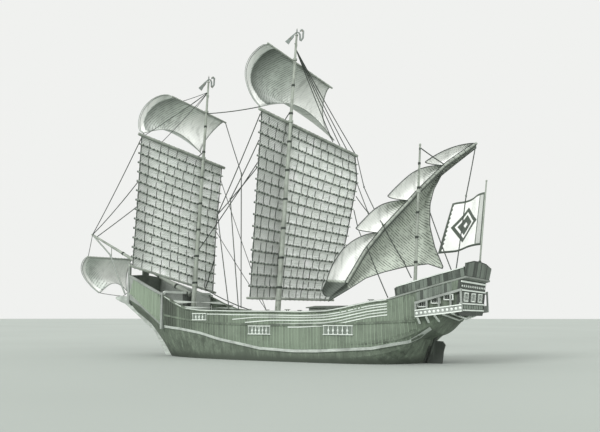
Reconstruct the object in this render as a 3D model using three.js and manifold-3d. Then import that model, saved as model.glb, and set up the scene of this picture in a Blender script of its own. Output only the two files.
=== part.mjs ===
// A three-masted red seal ship under sail: matted lugsails on the fore and main masts with
// square topsails over them, a spritsail under the bowsprit and a lateen sail on the mizzen.
// +X is the bow, +Y is port, +Z is up. The origin is on the waterline, on the centreline,
// amidships, just aft of the main mast's foot. Sizes are in metres here and leave this file in millimetres.
import * as THREE from "three";
import * as BufferGeometryUtils from "three/addons/utils/BufferGeometryUtils.js";
import Module from "manifold-3d";

const wasm = await Module();
wasm.setup();

// Sizes
const MM = 1000;
const GAP = 0.0004; // between pieces that touch
const RUN = 0.0005; // between a collar and the round pin or mast it turns on

const KEEL_BOTTOM = -2.95;
const KEEL_WIDTH = 0.42;
const PLANK = 0.12; // bulwark thickness
const CAP_OUT = 0.08; // a cap rail stands this far off its wall, each side
const CAP_HEIGHT = 0.16;

// Table of offsets. Each row is one cross section: x, keel z, then half breadth and height of
// the bilge, the wale, the deck edge and the rail.
const OFFSETS = [
  // x, keel z, bilge y, z, wale y, z, deck y, z, rail y, z
  [-14.3, 3.45, 1.7, 3.48, 2.9, 3.53, 3.18, 3.62, 3.28, 5.64],
  [-13.4, 3.2, 1.5, 3.24, 2.9, 3.34, 3.42, 3.52, 3.5, 5.4],
  [-12.5, 2.0, 1.2, 2.15, 2.8, 2.55, 3.52, 3.32, 3.62, 5.16],
  [-11.5, 1.62, 1.25, 1.74, 3.05, 2.05, 3.66, 3.12, 3.76, 4.89],
  [-10.4, -1.2, 1.35, 0.1, 3.45, 1.45, 3.76, 2.96, 3.86, 4.59],
  [-8.4, -2.45, 2.2, -1.2, 3.8, 1.1, 3.9, 2.78, 3.94, 4.36],
  [-5.0, -2.65, 2.9, -1.9, 3.94, 0.86, 4.0, 2.64, 4.0, 3.76],
  [0.0, -2.65, 3.1, -2.1, 3.95, 0.95, 4.0, 2.6, 4.0, 3.76],
  [4.4, -2.65, 2.9, -1.95, 3.9, 1.55, 3.95, 2.68, 3.97, 3.82],
  [8.0, -2.6, 2.2, -1.4, 3.62, 2.1, 3.7, 2.92, 3.76, 4.05],
  [10.73, -1.78, 1.45, -0.5, 3.15, 2.3, 3.34, 3.22, 3.4, 5.18],
  [12.2, -0.15, 1.1, 0.95, 2.75, 2.95, 3.04, 3.6, 3.08, 5.74],
  [13.3, 1.15, 1.0, 2.05, 2.5, 3.5, 2.76, 3.98, 2.82, 6.14],
  [14.25, 2.25, 0.95, 2.9, 2.25, 4.0, 2.5, 4.32, 2.56, 6.5],
  [15.72, 3.3, 0.9, 3.7, 1.98, 4.6, 2.16, 4.88, 2.2, 7.04],
];
const STERN_X = -14.3;
const BOW_X = 15.72;
const POST_X = 10.73; // the corner post where the bow wings begin
const POOP_X = -9.9; // front edge of the poop
const TRANSOM_LEAN = 0.12; // how far the transom leans aft for each metre up
const DECK_STERN = 3.62; // height of the deck edge at the transom
const CABIN_FRONT_X = -10.85;

// The poop deck slopes up towards the stern: its half breadth at each x, and its top.
const POOP_EDGE = [
  // x, half breadth
  [-15.05, 3.2], [-14.3, 3.34], [-13.4, 3.56], [-12.5, 3.68], [-11.5, 3.82], [-10.4, 3.92], [-9.9, 3.95],
];
const poopTop = (x) => 4.71 + 0.27 * (-10.4 - x);
const POOP_THICK = 0.12;
const POOP_RAIL = { xFront: -10.32, xAft: -14.98, height: 0.64, thick: 0.1, flare: 0.12 };

// The stem timber's outer edge and its inner edge inside the planking, as x and z.
const STEM_OUTER = [[9.4, -2.95], [11, -2.2], [12.4, -0.75], [13.4, 0.7], [14.25, 1.97], [16.1, 3.24],
  [18.03, 4.52], [18.6, 4.7], [19.24, 4.98]];
const STEM_INNER = [[19.24, 5.18], [18.6, 5.28], [17.2, 5.0], [15.6, 4.5], [14, 3], [12.5, 1], [11, -0.8],
  [9.4, -2]];
const STEM_HALF = 0.17;

// The pintle line down the sternpost: x at the waterline and how far it runs aft for each metre up.
const POST_LINE = { x: -11.16, rake: 0.36 };
const RUDDER_HEAD = 2.55;
const RUDDER = { stockRadius: 0.13, half: 0.09 };
// The iron rings on the post that the stock turns in: their height range and outer radius.
const GUDGEONS = [{ low: -2.3, high: -2.08 }, { low: -0.42, high: -0.2 }];
const GUDGEON = { radius: 0.21, room: 0.012 };
// The blade's outline: z, then the distance ahead of the pintle line
const BLADE = [[-2.8, 0.06], [-2.8, -1.5], [-1.6, -1.42], [0.85, -0.9], [1.3, -0.88], [1.55, -0.62],
  [1.6, 0.06]];

const BOWSPRIT = { xHeel: 10.5, xTip: 22.92, zTip: 11.35, slope: 0.4915, rHeel: 0.22, rTip: 0.09 };
const bowspritAt = (x) => [x, 0, BOWSPRIT.zTip + BOWSPRIT.slope * (x - BOWSPRIT.xTip)];

// Strakes laid on the side: x and z up the middle of each.
const LOWER_WALE = [[-12.4, 2.5], [-11.7, 2.06], [-10.95, 1.6], [-8.41, 1.12], [-4.3, 0.86], [-2.29, 0.82],
  [0.6, 0.95], [2.52, 1.28], [4.4, 1.58], [6.45, 2.05], [8.6, 2.34], [10.5, 2.5]];
const BOW_RAIL = [[10.83, 2.62], [15.72, 5.41]];
const UPPER_WALE = [[-11.6, 3.02], [-8.4, 2.86], [-5, 2.72], [0, 2.68], [4.4, 2.78], [8, 3.1], [10.5, 3.45]];
const GALLERY = {
  // x, half breadth of the side, bottom of the shelf, bottom of the upper rail
  rows: [[-11.7, 3.74, 3.24, 4.12], [-12.5, 3.61, 3.34, 4.34], [-13.4, 3.48, 3.44, 4.6],
    [-14.3, 3.27, 3.55, 4.85], [-14.8, 3.27, 3.62, 4.98]],
  shelf: 0.5, rail: 0.16, out: 0.24,
};
const FLAG_POLE = { x: -15.2, z: 7.18, rake: 0.12, top: 12.91, radius: 0.065 };
const FLAG = { angle: -20, hoist: [8.3, 12.06], fly: [[3.71, 7.92], [2.83, 11.58]], wave: 0.16 };

const WINDLASS = { x: 7.3, z: 3.62, halfSpan: 0.95, barrel: 0.2, journal: 0.1, bar: 0.62 };
const DECKHOUSE = { x: [-4.7, -2.2], y: 1.35, top: 3.95, wall: 0.1, eaves: 0.18 };
const HATCHES = { hatch_main: [2.3, 4.4, 1.05], hatch_fore: [5.1, 6.3, 0.8] }; // x from, x to, half breadth
const DOOR = { y: [0.58, 1.465], z: [3.1, 4.36], thick: 0.05, pin: [-10.8, 1.5], pinRadius: 0.02 };

// Masts: x where the axis meets the waterline, rake aft in metres for each metre up,
// height of the foot, height of the truck, radius at foot and truck.
const MASTS = {
  fore: { x0: 10.36, rake: 0.0565, truck: 24.55, rFoot: 0.22, rTruck: 0.085 },
  main: { x0: 1.732, rake: 0.0756, truck: 27.1, rFoot: 0.25, rTruck: 0.09 },
  mizzen: { x0: -9.993, rake: 0.0647, truck: 16.1, rFoot: 0.15, rTruck: 0.07 },
};
const MAST_SIDES = 16;

// Sails, in the frame of their own mast: s along the yard towards port and ahead, t up the mast.
// The yard angle is the turn of s from the bow, and lee is how far the cloth lies ahead of the mast.
const YARD_ANGLE = 70;
const LATEEN_ANGLE = 30;
const MAIN_LUG = {
  lee: 0.45,
  battens: 16,
  // s and t up the port edge and up the starboard edge
  port: [[2.55, 4.69], [2.64, 12.27], [2.74, 20.07]],
  starboard: [[-6.29, 4.91], [-7.79, 10.84], [-8.67, 16.04], [-8.22, 18.31]],
  belly: 0.5,
};
const FORE_LUG = {
  lee: 0.42,
  battens: 14,
  port: [[5.87, 7.32], [5.88, 12.93], [5.98, 18.52]],
  starboard: [[-2.21, 5.57], [-2.11, 11.21], [-2.31, 17.12]],
  belly: 0.45,
};
// A square sail swells by depth at its port edge, its middle and its starboard edge. Its port edge
// also rises by lift, most at the height given by skew, and bows outwards by bow.
const MAIN_TOP = {
  yard: [[2.52, 25.68], [-4.49, 23.84]],
  clews: [[2.91, 20.32], [-5.51, 19.16]],
  arch: 1.5,
  depth: [2.2, 3, 1.25],
  lift: 0.9,
  skew: 1,
  bow: 0.4,
  lee: 0.32,
};
const FORE_TOP = {
  yard: [[3.19, 22.44], [-2.11, 21.38]],
  clews: [[5.82, 18.73], [-0.01, 17.99]],
  arch: 1.1,
  depth: [2.6, 2.9, 1.05],
  lift: 1.2,
  skew: 1.5,
  bow: 0.1,
  lee: 0.3,
};
const SPRIT = {
  x: 20.2,
  yard: [[2.23, 8.86], [-2.17, 8.86]],
  clews: [[0.98, 5.54], [-1.88, 5.7]],
  arch: 0.9,
  depth: [1.7, 1.9, 0.75],
  lift: 0.3,
  skew: 1,
  bow: 0.4,
};
// The lateen's tables run from its tack to its peak.
const LATEEN = {
  lee: 0.3,
  // fraction of the way up, s, t: the tack of the cloth, then the bent yard
  yard: [[0, 6.2, 4.4], [0.1, 5, 5.5], [0.271, 3.7, 7.96], [0.407, 2.4, 9.75], [0.653, -0.2, 12.8],
    [0.816, -2, 14.75], [1, -4.35, 16.6]],
  // where the cloth ends below the yard: fraction, s, t
  edge: [[0, 6.3, 4.05], [0.09, 4.99, 4.92], [0.19, 3.58, 5.93], [0.28, 2.27, 6.45], [0.36, 0.65, 6.94],
    [0.44, -1, 7.24], [0.5, -2.2, 6.9], [0.55, -1.45, 8.5], [0.61, -1.02, 10.1], [0.68, -0.98, 11.7],
    [0.74, -1.22, 12.84], [0.81, -1.75, 13.95], [0.88, -2.75, 14.85], [1, -4.35, 16.25]],
  // the lobes ahead of the yard: fraction from, fraction to, share in which it opens, roundness, reach
  lobes: [[0, 0.377, 0.6, 7, 1.8], [0.377, 0.582, 0.1, 7, 2], [0.582, 0.816, 0.1, 7, 1.9],
    [0.816, 1, 0.12, 3, 1.75]],
  seam: 0.12, // cloth left ahead of the yard between two lobes
};

// Materials
function paint(color, roughness, metalness = 0) {
  return new THREE.MeshStandardMaterial({ color, roughness, metalness });
}
const HULL_PAINT = paint(0x4f5a41, 0.7);
const DARK_WOOD = paint(0x39402f, 0.75);
const PALE_WOOD = paint(0xa9ad8c, 0.7);
const DECK_WOOD = paint(0x8b8a6c, 0.8);
const SPAR_WOOD = paint(0x6a6a4e, 0.65);
const MATTING = paint(0x7e8769, 0.9);
const DARK_CLOTH = paint(0x5c6652, 0.9);
const PALE_CLOTH = paint(0xd5d7c4, 0.9);
const IRON = paint(0x3a3d38, 0.5, 0.8);

// Solids
function welded(geometry) {
  const bare = geometry.index ? geometry : geometry.clone();
  for (const name of ["normal", "uv"]) bare.deleteAttribute(name);
  return BufferGeometryUtils.mergeVertices(bare, 1e-7);
}

function toManifold(geometry) {
  const g = welded(geometry.clone());
  return new wasm.Manifold(new wasm.Mesh({
    numProp: 3,
    vertProperties: new Float32Array(g.attributes.position.array),
    triVerts: new Uint32Array(g.index.array),
  }));
}

function fromManifold(solid) {
  const m = solid.getMesh();
  const g = new THREE.BufferGeometry();
  g.setAttribute("position", new THREE.BufferAttribute(new Float32Array(m.vertProperties), 3));
  g.setIndex(Array.from(m.triVerts));
  return g;
}

function join(...geometries) {
  return fromManifold(geometries.map(toManifold).reduce((a, b) => a.add(b)));
}

function cut(geometry, ...cutters) {
  return fromManifold(cutters.map(toManifold).reduce((a, b) => a.subtract(b), toManifold(geometry)));
}

function facingOut(geometry) {
  const p = geometry.attributes.position;
  const index = geometry.index.array;
  const [a, b, c] = [new THREE.Vector3(), new THREE.Vector3(), new THREE.Vector3()];
  let volume = 0;
  for (let i = 0; i < index.length; i += 3) {
    a.fromBufferAttribute(p, index[i]);
    b.fromBufferAttribute(p, index[i + 1]);
    c.fromBufferAttribute(p, index[i + 2]);
    volume += a.dot(b.cross(c));
  }
  if (volume < 0) {
    for (let i = 0; i < index.length; i += 3) [index[i], index[i + 1]] = [index[i + 1], index[i]];
  }
  return geometry;
}

// A closed solid through rings of [x, y, z] points, each ring in the same order. From the point
// turnAt on, the quads split along their other diagonal, so that two mirrored sides match.
function loft(rings, turnAt = Infinity) {
  const n = rings[0].length;
  const positions = rings.flat(2);
  const index = [];
  for (let i = 0; i + 1 < rings.length; i++) {
    for (let j = 0; j < n; j++) {
      const [a, b] = [i * n + j, i * n + ((j + 1) % n)];
      if (j < turnAt) index.push(a, b, b + n, a, b + n, a + n);
      else index.push(a, b, a + n, b, b + n, a + n);
    }
  }
  for (const [i, flip] of [[0, true], [rings.length - 1, false]]) {
    const flat = flattened(rings[i]);
    for (const [a, b, c] of THREE.ShapeUtils.triangulateShape(flat, [])) {
      const t = flip ? [a, c, b] : [a, b, c];
      index.push(...t.map((k) => i * n + k));
    }
  }
  const g = new THREE.BufferGeometry();
  g.setAttribute("position", new THREE.BufferAttribute(new Float32Array(positions), 3));
  g.setIndex(index);
  return facingOut(g);
}

// A ring's points in its own plane. The turn matches the ring, so that its cap faces the loft's way.
function flattened(ring) {
  const at = ring.map((p) => new THREE.Vector3(...p));
  const normal = new THREE.Vector3();
  at.forEach((p, i) => {
    const q = at[(i + 1) % at.length];
    normal.add(new THREE.Vector3().crossVectors(p, q));
  });
  normal.normalize();
  const right = new THREE.Vector3(normal.y, normal.z, normal.x).cross(normal).normalize();
  const up = new THREE.Vector3().crossVectors(normal, right);
  return at.map((p) => new THREE.Vector2(p.dot(right), p.dot(up)));
}

// A thin closed sheet over a grid. point(u, v) gives its middle surface, thick(u, v) its thickness.
function sheet(us, vs, point, thick) {
  const at = us.map((u) => vs.map((v) => new THREE.Vector3(...point(u, v))));
  const [nu, nv] = [us.length, vs.length];
  const [front, back] = [[], []];
  for (let i = 0; i < nu; i++) {
    for (let j = 0; j < nv; j++) {
      const du = at[Math.min(i + 1, nu - 1)][j].clone().sub(at[Math.max(i - 1, 0)][j]);
      const dv = at[i][Math.min(j + 1, nv - 1)].clone().sub(at[i][Math.max(j - 1, 0)]);
      const normal = du.cross(dv).normalize().multiplyScalar(thick(us[i], vs[j], j) / 2);
      front.push(at[i][j].clone().add(normal).toArray());
      back.push(at[i][j].clone().sub(normal).toArray());
    }
  }
  const half = nu * nv;
  const k = (i, j, side) => side * half + i * nv + j;
  const index = [];
  const quad = (a, b, c, d) => index.push(a, b, c, a, c, d);
  for (let i = 0; i + 1 < nu; i++) {
    for (let j = 0; j + 1 < nv; j++) {
      quad(k(i, j, 0), k(i + 1, j, 0), k(i + 1, j + 1, 0), k(i, j + 1, 0));
      quad(k(i, j, 1), k(i, j + 1, 1), k(i + 1, j + 1, 1), k(i + 1, j, 1));
    }
    quad(k(i, 0, 0), k(i, 0, 1), k(i + 1, 0, 1), k(i + 1, 0, 0));
    quad(k(i, nv - 1, 0), k(i + 1, nv - 1, 0), k(i + 1, nv - 1, 1), k(i, nv - 1, 1));
  }
  for (let j = 0; j + 1 < nv; j++) {
    quad(k(0, j, 0), k(0, j + 1, 0), k(0, j + 1, 1), k(0, j, 1));
    quad(k(nu - 1, j, 0), k(nu - 1, j, 1), k(nu - 1, j + 1, 1), k(nu - 1, j + 1, 0));
  }
  const g = new THREE.BufferGeometry();
  g.setAttribute("position", new THREE.BufferAttribute(new Float32Array([front, back].flat(2)), 3));
  g.setIndex(index);
  return facingOut(g);
}

function pole(from, to, rFrom, rTo, sides = 10, grow = 0, turn = Math.PI / sides) {
  const [a, b] = [new THREE.Vector3(...from), new THREE.Vector3(...to)];
  const way = b.clone().sub(a);
  const length = way.length();
  const g = new THREE.CylinderGeometry(rTo + grow, rFrom + grow, length + 2 * grow, sides);
  g.rotateY(turn);
  g.applyQuaternion(new THREE.Quaternion().setFromUnitVectors(new THREE.Vector3(0, 1, 0), way.normalize()));
  const middle = a.add(b).multiplyScalar(0.5);
  return g.translate(middle.x, middle.y, middle.z);
}

// A box from its low and high corners.
function block(low, high) {
  const size = low.map((v, i) => high[i] - v);
  return new THREE.BoxGeometry(...size).translate(...low.map((v, i) => v + size[i] / 2));
}

// An outline in X and Z with a thickness across Y.
function plate(outline, yLow, yHigh) {
  const shape = new THREE.Shape(outline.map(([x, z]) => new THREE.Vector2(x, z)));
  const g = new THREE.ExtrudeGeometry(shape, { depth: yHigh - yLow, bevelEnabled: false });
  return g.rotateX(Math.PI / 2).translate(0, yHigh, 0);
}

// A round tool whose flats, not its corners, clear a pin of the given radius, and face its corners.
function clearance(from, to, radius, sides) {
  const r = (radius + RUN) / Math.cos(Math.PI / sides);
  return pole(from, to, r, r, sides, 0, 0);
}

// A ring about the local mast axis, which is Z, from t0 to t1. Its inside clears a round of
// radius inside(t), and its outside is rOut.
function collar(t0, t1, inside, rOut, sides = MAST_SIDES) {
  const flat = Math.cos(Math.PI / sides);
  const profile = [
    [(inside(t0) + RUN) / flat, t0],
    [rOut, t0],
    [rOut, t1],
    [(inside(t1) + RUN) / flat, t1],
    [(inside(t0) + RUN) / flat, t0],
  ].map(([r, t]) => new THREE.Vector2(r, t));
  return facingOut(welded(new THREE.LatheGeometry(profile, sides)).rotateX(Math.PI / 2));
}

function mirrored(geometry) {
  return facingOut(geometry.clone().scale(1, -1, 1));
}

// Tables to curves
function lerp(a, b, f) {
  return a + (b - a) * f;
}

// Straight lines through a table of rows that start with the running value.
function along(rows, x) {
  const up = rows[0][0] < rows[rows.length - 1][0];
  const sorted = up ? rows : [...rows].reverse();
  const after = sorted.findIndex((r) => r[0] > x);
  const k = after < 0 ? sorted.length - 1 : Math.max(after, 1);
  const [p, q] = [sorted[k - 1], sorted[k]];
  const f = Math.min(Math.max((x - p[0]) / (q[0] - p[0]), 0), 1);
  return p.slice(1).map((v, j) => lerp(v, q[j + 1], f));
}

// A smooth curve through the same kind of table.
function smooth(rows, x) {
  const i = Math.min(Math.max(rows.findIndex((r) => r[0] > x) - 1, 0), rows.length - 2);
  const k = x >= rows[rows.length - 1][0] ? rows.length - 2 : i;
  const [p, q] = [rows[k], rows[k + 1]];
  const [before, after] = [rows[Math.max(k - 1, 0)], rows[Math.min(k + 2, rows.length - 1)]];
  const h = q[0] - p[0];
  const f = (x - p[0]) / h;
  return p.slice(1).map((v, j) => {
    const [a, b] = [v, q[j + 1]];
    const ma = ((b - before[j + 1]) / (q[0] - before[0])) * h;
    const mb = ((after[j + 1] - a) / (after[0] - p[0])) * h;
    const [f2, f3] = [f * f, f * f * f];
    return (2 * f3 - 3 * f2 + 1) * a + (f3 - 2 * f2 + f) * ma + (3 * f2 - 2 * f3) * b + (f3 - f2) * mb;
  });
}

// Hull
const STATIONS = [-14.3, -13.85, -13.4, -12.95, -12.5, -12, -11.5, -10.95, -10.4, -9.9, -9.2, -8.4,
  -7.3, -6.2, -5, -3, -1, 1, 3, 4.4, 6.2, 8, 9.4, 10.2, 10.73, 11.4, 12.2, 12.75, 13.3, 13.8, 14.25,
  15, 15.72];
const BELOW_DECK = 9; // points from keel to deck edge
const KNOTS = [0, 0.1, 0.22, 0.34, 0.46, 0.6, 0.74, 0.88, 1];

// One side of the cross section at a station, as [y, z] from the keel to the deck edge, then the rail.
function stationSection(x) {
  const [zk, yb, zb, yw, zw, yd, zd, yr, zr] = smooth(OFFSETS, x);
  const curve = new THREE.CatmullRomCurve3(
    [[0, zk], [yb, zb], [yw, zw], [yd, zd]].map(([y, z]) => new THREE.Vector3(y, z, 0)),
  );
  const side = KNOTS.map((k) => curve.getPoint(k)).map((p) => [p.x, p.y]);
  side[0][0] = 0;
  return [...side, [yr, zr]];
}
const SECTIONS = STATIONS.map(stationSection);

// The same at any x: straight between stations, as the planking is.
function section(x) {
  const k = Math.min(Math.max(STATIONS.findIndex((s) => s > x), 1), STATIONS.length - 1);
  const i = x >= STATIONS[STATIONS.length - 1] ? STATIONS.length - 1 : k;
  const f = (x - STATIONS[i - 1]) / (STATIONS[i] - STATIONS[i - 1]);
  return SECTIONS[i - 1].map(([y, z], j) => [lerp(y, SECTIONS[i][j][0], f), lerp(z, SECTIONS[i][j][1], f)]);
}

function sideAt(x, z) {
  const points = section(x).map(([y, h]) => [h, y]);
  for (let i = points.length - 1; i > 0; i--) {
    if (z >= points[i - 1][0]) return along([points[i - 1], points[i]], z)[0];
  }
  return points[0][1];
}

function deckAt(x) {
  return section(x)[BELOW_DECK - 1][1];
}

// The sides lean aft at the transom.
function leanAt(x, z) {
  return x - (x === STERN_X ? TRANSOM_LEAN * Math.max(z - DECK_STERN, 0) : 0);
}

// The hull's outer skin as a solid, up to the deck or up to the rail, grown by a small amount.
function skin(toRail, grow = 0) {
  const rings = STATIONS.map((x, i) => {
    const end = i === 0 ? -grow : i === STATIONS.length - 1 ? grow : 0;
    const side = section(x).slice(0, toRail ? BELOW_DECK + 1 : BELOW_DECK);
    const port = side.map(([y, z], k) => [leanAt(x, z) + end, k ? y + grow : 0,
      k === side.length - 1 ? z + grow : z - grow]);
    const starboard = [...port].reverse().map(([px, y, z]) => [px, -y, z]);
    return [...port, ...starboard.slice(0, -1)];
  });
  return loft(rings, toRail ? BELOW_DECK + 1 : BELOW_DECK);
}

// A wall that follows the side from the deck edge to the rail between two stations, with a cap rail.
function wall(xFrom, xTo, options = {}) {
  const { cap = true, inset = PLANK, lower = GAP, top = 0 } = options;
  const xs = [xFrom, ...STATIONS.filter((x) => x > xFrom + 0.05 && x < xTo - 0.05), xTo];
  const rings = xs.map((x) => {
    const s = section(x);
    const [[yd, zd], [yr, zr]] = [s[BELOW_DECK - 1], s[BELOW_DECK]];
    const h = zr - top;
    const yc = lerp(yd, yr, (h - CAP_HEIGHT - zd) / (zr - zd)); // under the cap
    const at = (y, z) => [leanAt(x, z), y, z];
    const capped = [
      at(yd, zd + lower), at(yc, h - CAP_HEIGHT), at(yr + CAP_OUT, h - CAP_HEIGHT), at(yr + CAP_OUT, h),
      at(yr - inset - CAP_OUT, h), at(yr - inset - CAP_OUT, h - CAP_HEIGHT), at(yc - inset, h - CAP_HEIGHT),
      at(yd - inset, zd + lower),
    ];
    const plain = [at(yd, zd + lower), at(yr, h), at(yr - inset, h), at(yd - inset, zd + lower)];
    return cap ? capped : plain;
  });
  return loft(rings);
}

// A timber laid on the ship's side along a table of x, z: height tall, standing off by out.
function strake(path, height, out, into = 0.06) {
  const xs = [...new Set([path[0][0], ...STATIONS, ...path.map((r) => r[0])])]
    .filter((x) => x >= Math.min(path[0][0], path[path.length - 1][0])
      && x <= Math.max(path[0][0], path[path.length - 1][0]))
    .sort((a, b) => a - b);
  const rows = [...path].sort((a, b) => a[0] - b[0]);
  return loft(xs.map((x) => {
    const [z] = along(rows, x);
    const [low, high] = [z - height / 2, z + height / 2];
    const [yl, yh] = [sideAt(x, low), sideAt(x, high)];
    return [[x, yl - into, low], [x, yl + out, low], [x, yh + out, high], [x, yh - into, high]];
  }));
}


const deckSolid = skin(false, GAP);
const sideSolid = skin(true, GAP);
const fromPost = (z, ahead) => [POST_LINE.x - POST_LINE.rake * z + ahead, z];
const stockAt = (z) => [fromPost(z, 0)[0], 0, z];

// The meshes
const ship = new THREE.Group();

function add(name, geometry, material) {
  const g = welded(geometry.clone()).scale(MM, MM, MM);
  g.computeVertexNormals();
  const mesh = new THREE.Mesh(g, material);
  mesh.name = name;
  ship.add(mesh);
}

function addPair(name, port, material) {
  add(`${name}_port`, port, material);
  add(`${name}_starboard`, mirrored(port), material);
}

// Hull and timbers
// The rudder stock runs up into an open trunk in the counter.
const trunk = clearance(stockAt(-0.5), stockAt(RUDDER_HEAD + 0.05), RUDDER.stockRadius, 12);
add("hull", cut(skin(false), trunk), HULL_PAINT);

add("keel", cut(plate([fromPost(KEEL_BOTTOM, 0.62 + GAP), [9.4 - GAP, KEEL_BOTTOM], [9.4 - GAP, -2],
  [-7.6, -2], fromPost(0.5, 0.62 + GAP)], -KEEL_WIDTH / 2, KEEL_WIDTH / 2), deckSolid), DARK_WOOD);
const gudgeons = GUDGEONS.map(({ low, high }) => cut(
  join(
    pole(stockAt(low), stockAt(high), GUDGEON.radius, GUDGEON.radius, 12),
    plate([fromPost(low, 0), fromPost(high, 0), fromPost(high, 0.3), fromPost(low, 0.3)], -0.13, 0.13),
  ),
  clearance(stockAt(low - 0.2), stockAt(high + 0.2), RUDDER.stockRadius, 12),
));
const post = plate([fromPost(KEEL_BOTTOM, 0.62), fromPost(KEEL_BOTTOM, 0.19), fromPost(1.2, 0.19),
  fromPost(1.2, 0.62)], -0.16, 0.16);
add("stern_post", cut(join(post, ...gudgeons), deckSolid), DARK_WOOD);
const stem = plate([...STEM_OUTER, ...STEM_INNER], -STEM_HALF, STEM_HALF);
add("stem", cut(stem, deckSolid), PALE_WOOD);

const bladeOutline = BLADE.map(([z, ahead]) => fromPost(z, ahead));
// The blade is notched round the gudgeons, with room for them when it swings.
const notches = GUDGEONS.map(({ low, high }) => {
  const r = GUDGEON.radius + GUDGEON.room;
  return pole(stockAt(low - GUDGEON.room - 0.1), stockAt(high + GUDGEON.room + 0.1), r, r, 16);
});
add("rudder", join(cut(plate(bladeOutline, -RUDDER.half, RUDDER.half), ...notches),
  pole(stockAt(-2.8), stockAt(RUDDER_HEAD), RUDDER.stockRadius, RUDDER.stockRadius, 12)), DARK_WOOD);

addPair("wale_lower", cut(strake(LOWER_WALE, 0.2, 0.09), sideSolid), PALE_WOOD);
addPair("wale_upper", cut(strake(UPPER_WALE, 0.16, 0.08), sideSolid), PALE_WOOD);

// Bulwarks and bow wings
const wingStart = POST_X - 0.09;
addPair("bulwark", wall(POOP_X + GAP, wingStart - GAP), HULL_PAINT);

const wing = (() => {
  const foot = cut(block([wingStart, 3.1, 2.3], [wingStart + 0.18, 3.52, 5.32]), deckSolid);
  const [y, out] = [2.04, 2.26];
  const front = cut(block([BOW_X - 0.12, y, 4.46], [BOW_X + 0.12, out, 8.07]), deckSolid);
  const rail = cut(strake(BOW_RAIL, 0.2, 0.1), deckSolid);
  return join(wall(wingStart, BOW_X), foot, front, rail);
})();
addPair("bow_wing", wing, PALE_WOOD);

const bowsprit = (grow = 0) => pole(bowspritAt(BOWSPRIT.xHeel), bowspritAt(BOWSPRIT.xTip), BOWSPRIT.rHeel,
  BOWSPRIT.rTip, 12, grow);
const frontBoard = (() => {
  const shape = new THREE.Shape([[-1.72, 4.3], [1.72, 4.3], [2.0, 4.62], [2.035, 7.0], [0.4, 7.12],
    [0.4, 7.95], [-0.4, 7.95], [-0.4, 7.12], [-2.035, 7.0], [-2.0, 4.62]]
    .map(([y, z]) => new THREE.Vector2(y, z)));
  const g = new THREE.ExtrudeGeometry(shape, { depth: 0.12, bevelEnabled: false });
  g.rotateX(Math.PI / 2).rotateZ(Math.PI / 2).translate(BOW_X + GAP, 0, 0);
  const notch = block([BOW_X - 1, -STEM_HALF - GAP, 4], [BOW_X + 1, STEM_HALF + GAP, 5]);
  return cut(g, bowsprit(GAP), notch);
})();
add("bow_bulkhead", frontBoard, DECK_WOOD);
add("bowsprit_bitts", cut(block([10.62, -0.36, 3], [11.05, 0.36, 5.5]), bowsprit(GAP), deckSolid), DARK_WOOD);

// Stern
function poopSlab(grow = 0) {
  return loft(POOP_EDGE.map(([x, y], i) => {
    const end = i === 0 ? -grow : i === POOP_EDGE.length - 1 ? grow : 0;
    const [low, high] = [poopTop(x) - POOP_THICK - grow, poopTop(x) + grow];
    return [[y + grow, low], [y + grow, high], [-y - grow, high], [-y - grow, low]]
      .map(([across, z]) => [x + end, across, z]);
  }));
}
// Each mast starts below its deck here, and is cut to stand on it.
const MAST_FOOT = { fore: deckAt(10.18) - 0.27, main: deckAt(1.52) - 0.27, mizzen: deckAt(-10.18) - 0.27 };
function mast(kind, grow = 0) {
  const { x0, rake, truck, rFoot, rTruck } = MASTS[kind];
  const zFoot = MAST_FOOT[kind];
  return pole([x0 - rake * zFoot, 0, zFoot], [x0 - rake * truck, 0, truck], rFoot, rTruck, MAST_SIDES, grow);
}

const windowCuts = [-12.15, -13.05, -13.9].map((x) => {
  const z = 4.0 + 0.26 * (-11.7 - x);
  return block([x - 0.28, 2.8, z - 0.15], [x + 0.28, 4.2, z + 0.15]);
});
const cabinSide = wall(STERN_X, POOP_X - GAP, { cap: false, top: -0.05 });
addPair("cabin_side", cut(cabinSide, poopSlab(GAP), ...windowCuts), HULL_PAINT);

const transom = (() => {
  const shape = new THREE.Shape([[-2.9, 3.35], [2.9, 3.35], [3.2, 3.62], [3.3, 4.6], [3.27, 5.78],
    [-3.27, 5.78], [-3.3, 4.6], [-3.2, 3.62]].map(([y, z]) => new THREE.Vector2(y, z)));
  const g = new THREE.ExtrudeGeometry(shape, { depth: 0.16, bevelEnabled: false });
  g.rotateX(Math.PI / 2).rotateZ(Math.PI / 2);
  const p = g.attributes.position;
  for (let i = 0; i < p.count; i++) p.setX(i, p.getX(i) - 0.16 - GAP + leanAt(STERN_X, p.getZ(i)));
  const windows = [-1.8, 0, 1.8].map((y) => block([-15.2, y - 0.42, 4.35], [-14, y + 0.42, 4.85]));
  return cut(g, poopSlab(GAP), sideSolid, ...windows);
})();
add("transom", transom, DARK_WOOD);

const cabinFront = (() => {
  const x = CABIN_FRONT_X;
  const shape = new THREE.Shape([[-3.57, 2.9], [3.57, 2.9], [3.66, 4.79], [-3.66, 4.79]]
    .map(([y, z]) => new THREE.Vector2(y, z)));
  const g = new THREE.ExtrudeGeometry(shape, { depth: 0.1, bevelEnabled: false });
  g.rotateX(Math.PI / 2).rotateZ(Math.PI / 2).translate(x - 0.1, 0, 0);
  const doorway = block([x - 1, DOOR.y[0] + 0.06, 2.8], [x + 1, DOOR.y[1] - 0.06, DOOR.z[1] - 0.06]);
  const [px, py] = DOOR.pin;
  const brackets = [3.2, 4.26].map((z) => block([x - 0.02, py - 0.01, z - 0.02],
    [px + 0.021, py + 0.03, z + 0.02]));
  const pin = pole([px, py, 3.19], [px, py, 4.27], DOOR.pinRadius, DOOR.pinRadius, 8);
  return join(cut(g, doorway, poopSlab(GAP), deckSolid), ...brackets, pin);
})();
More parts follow.
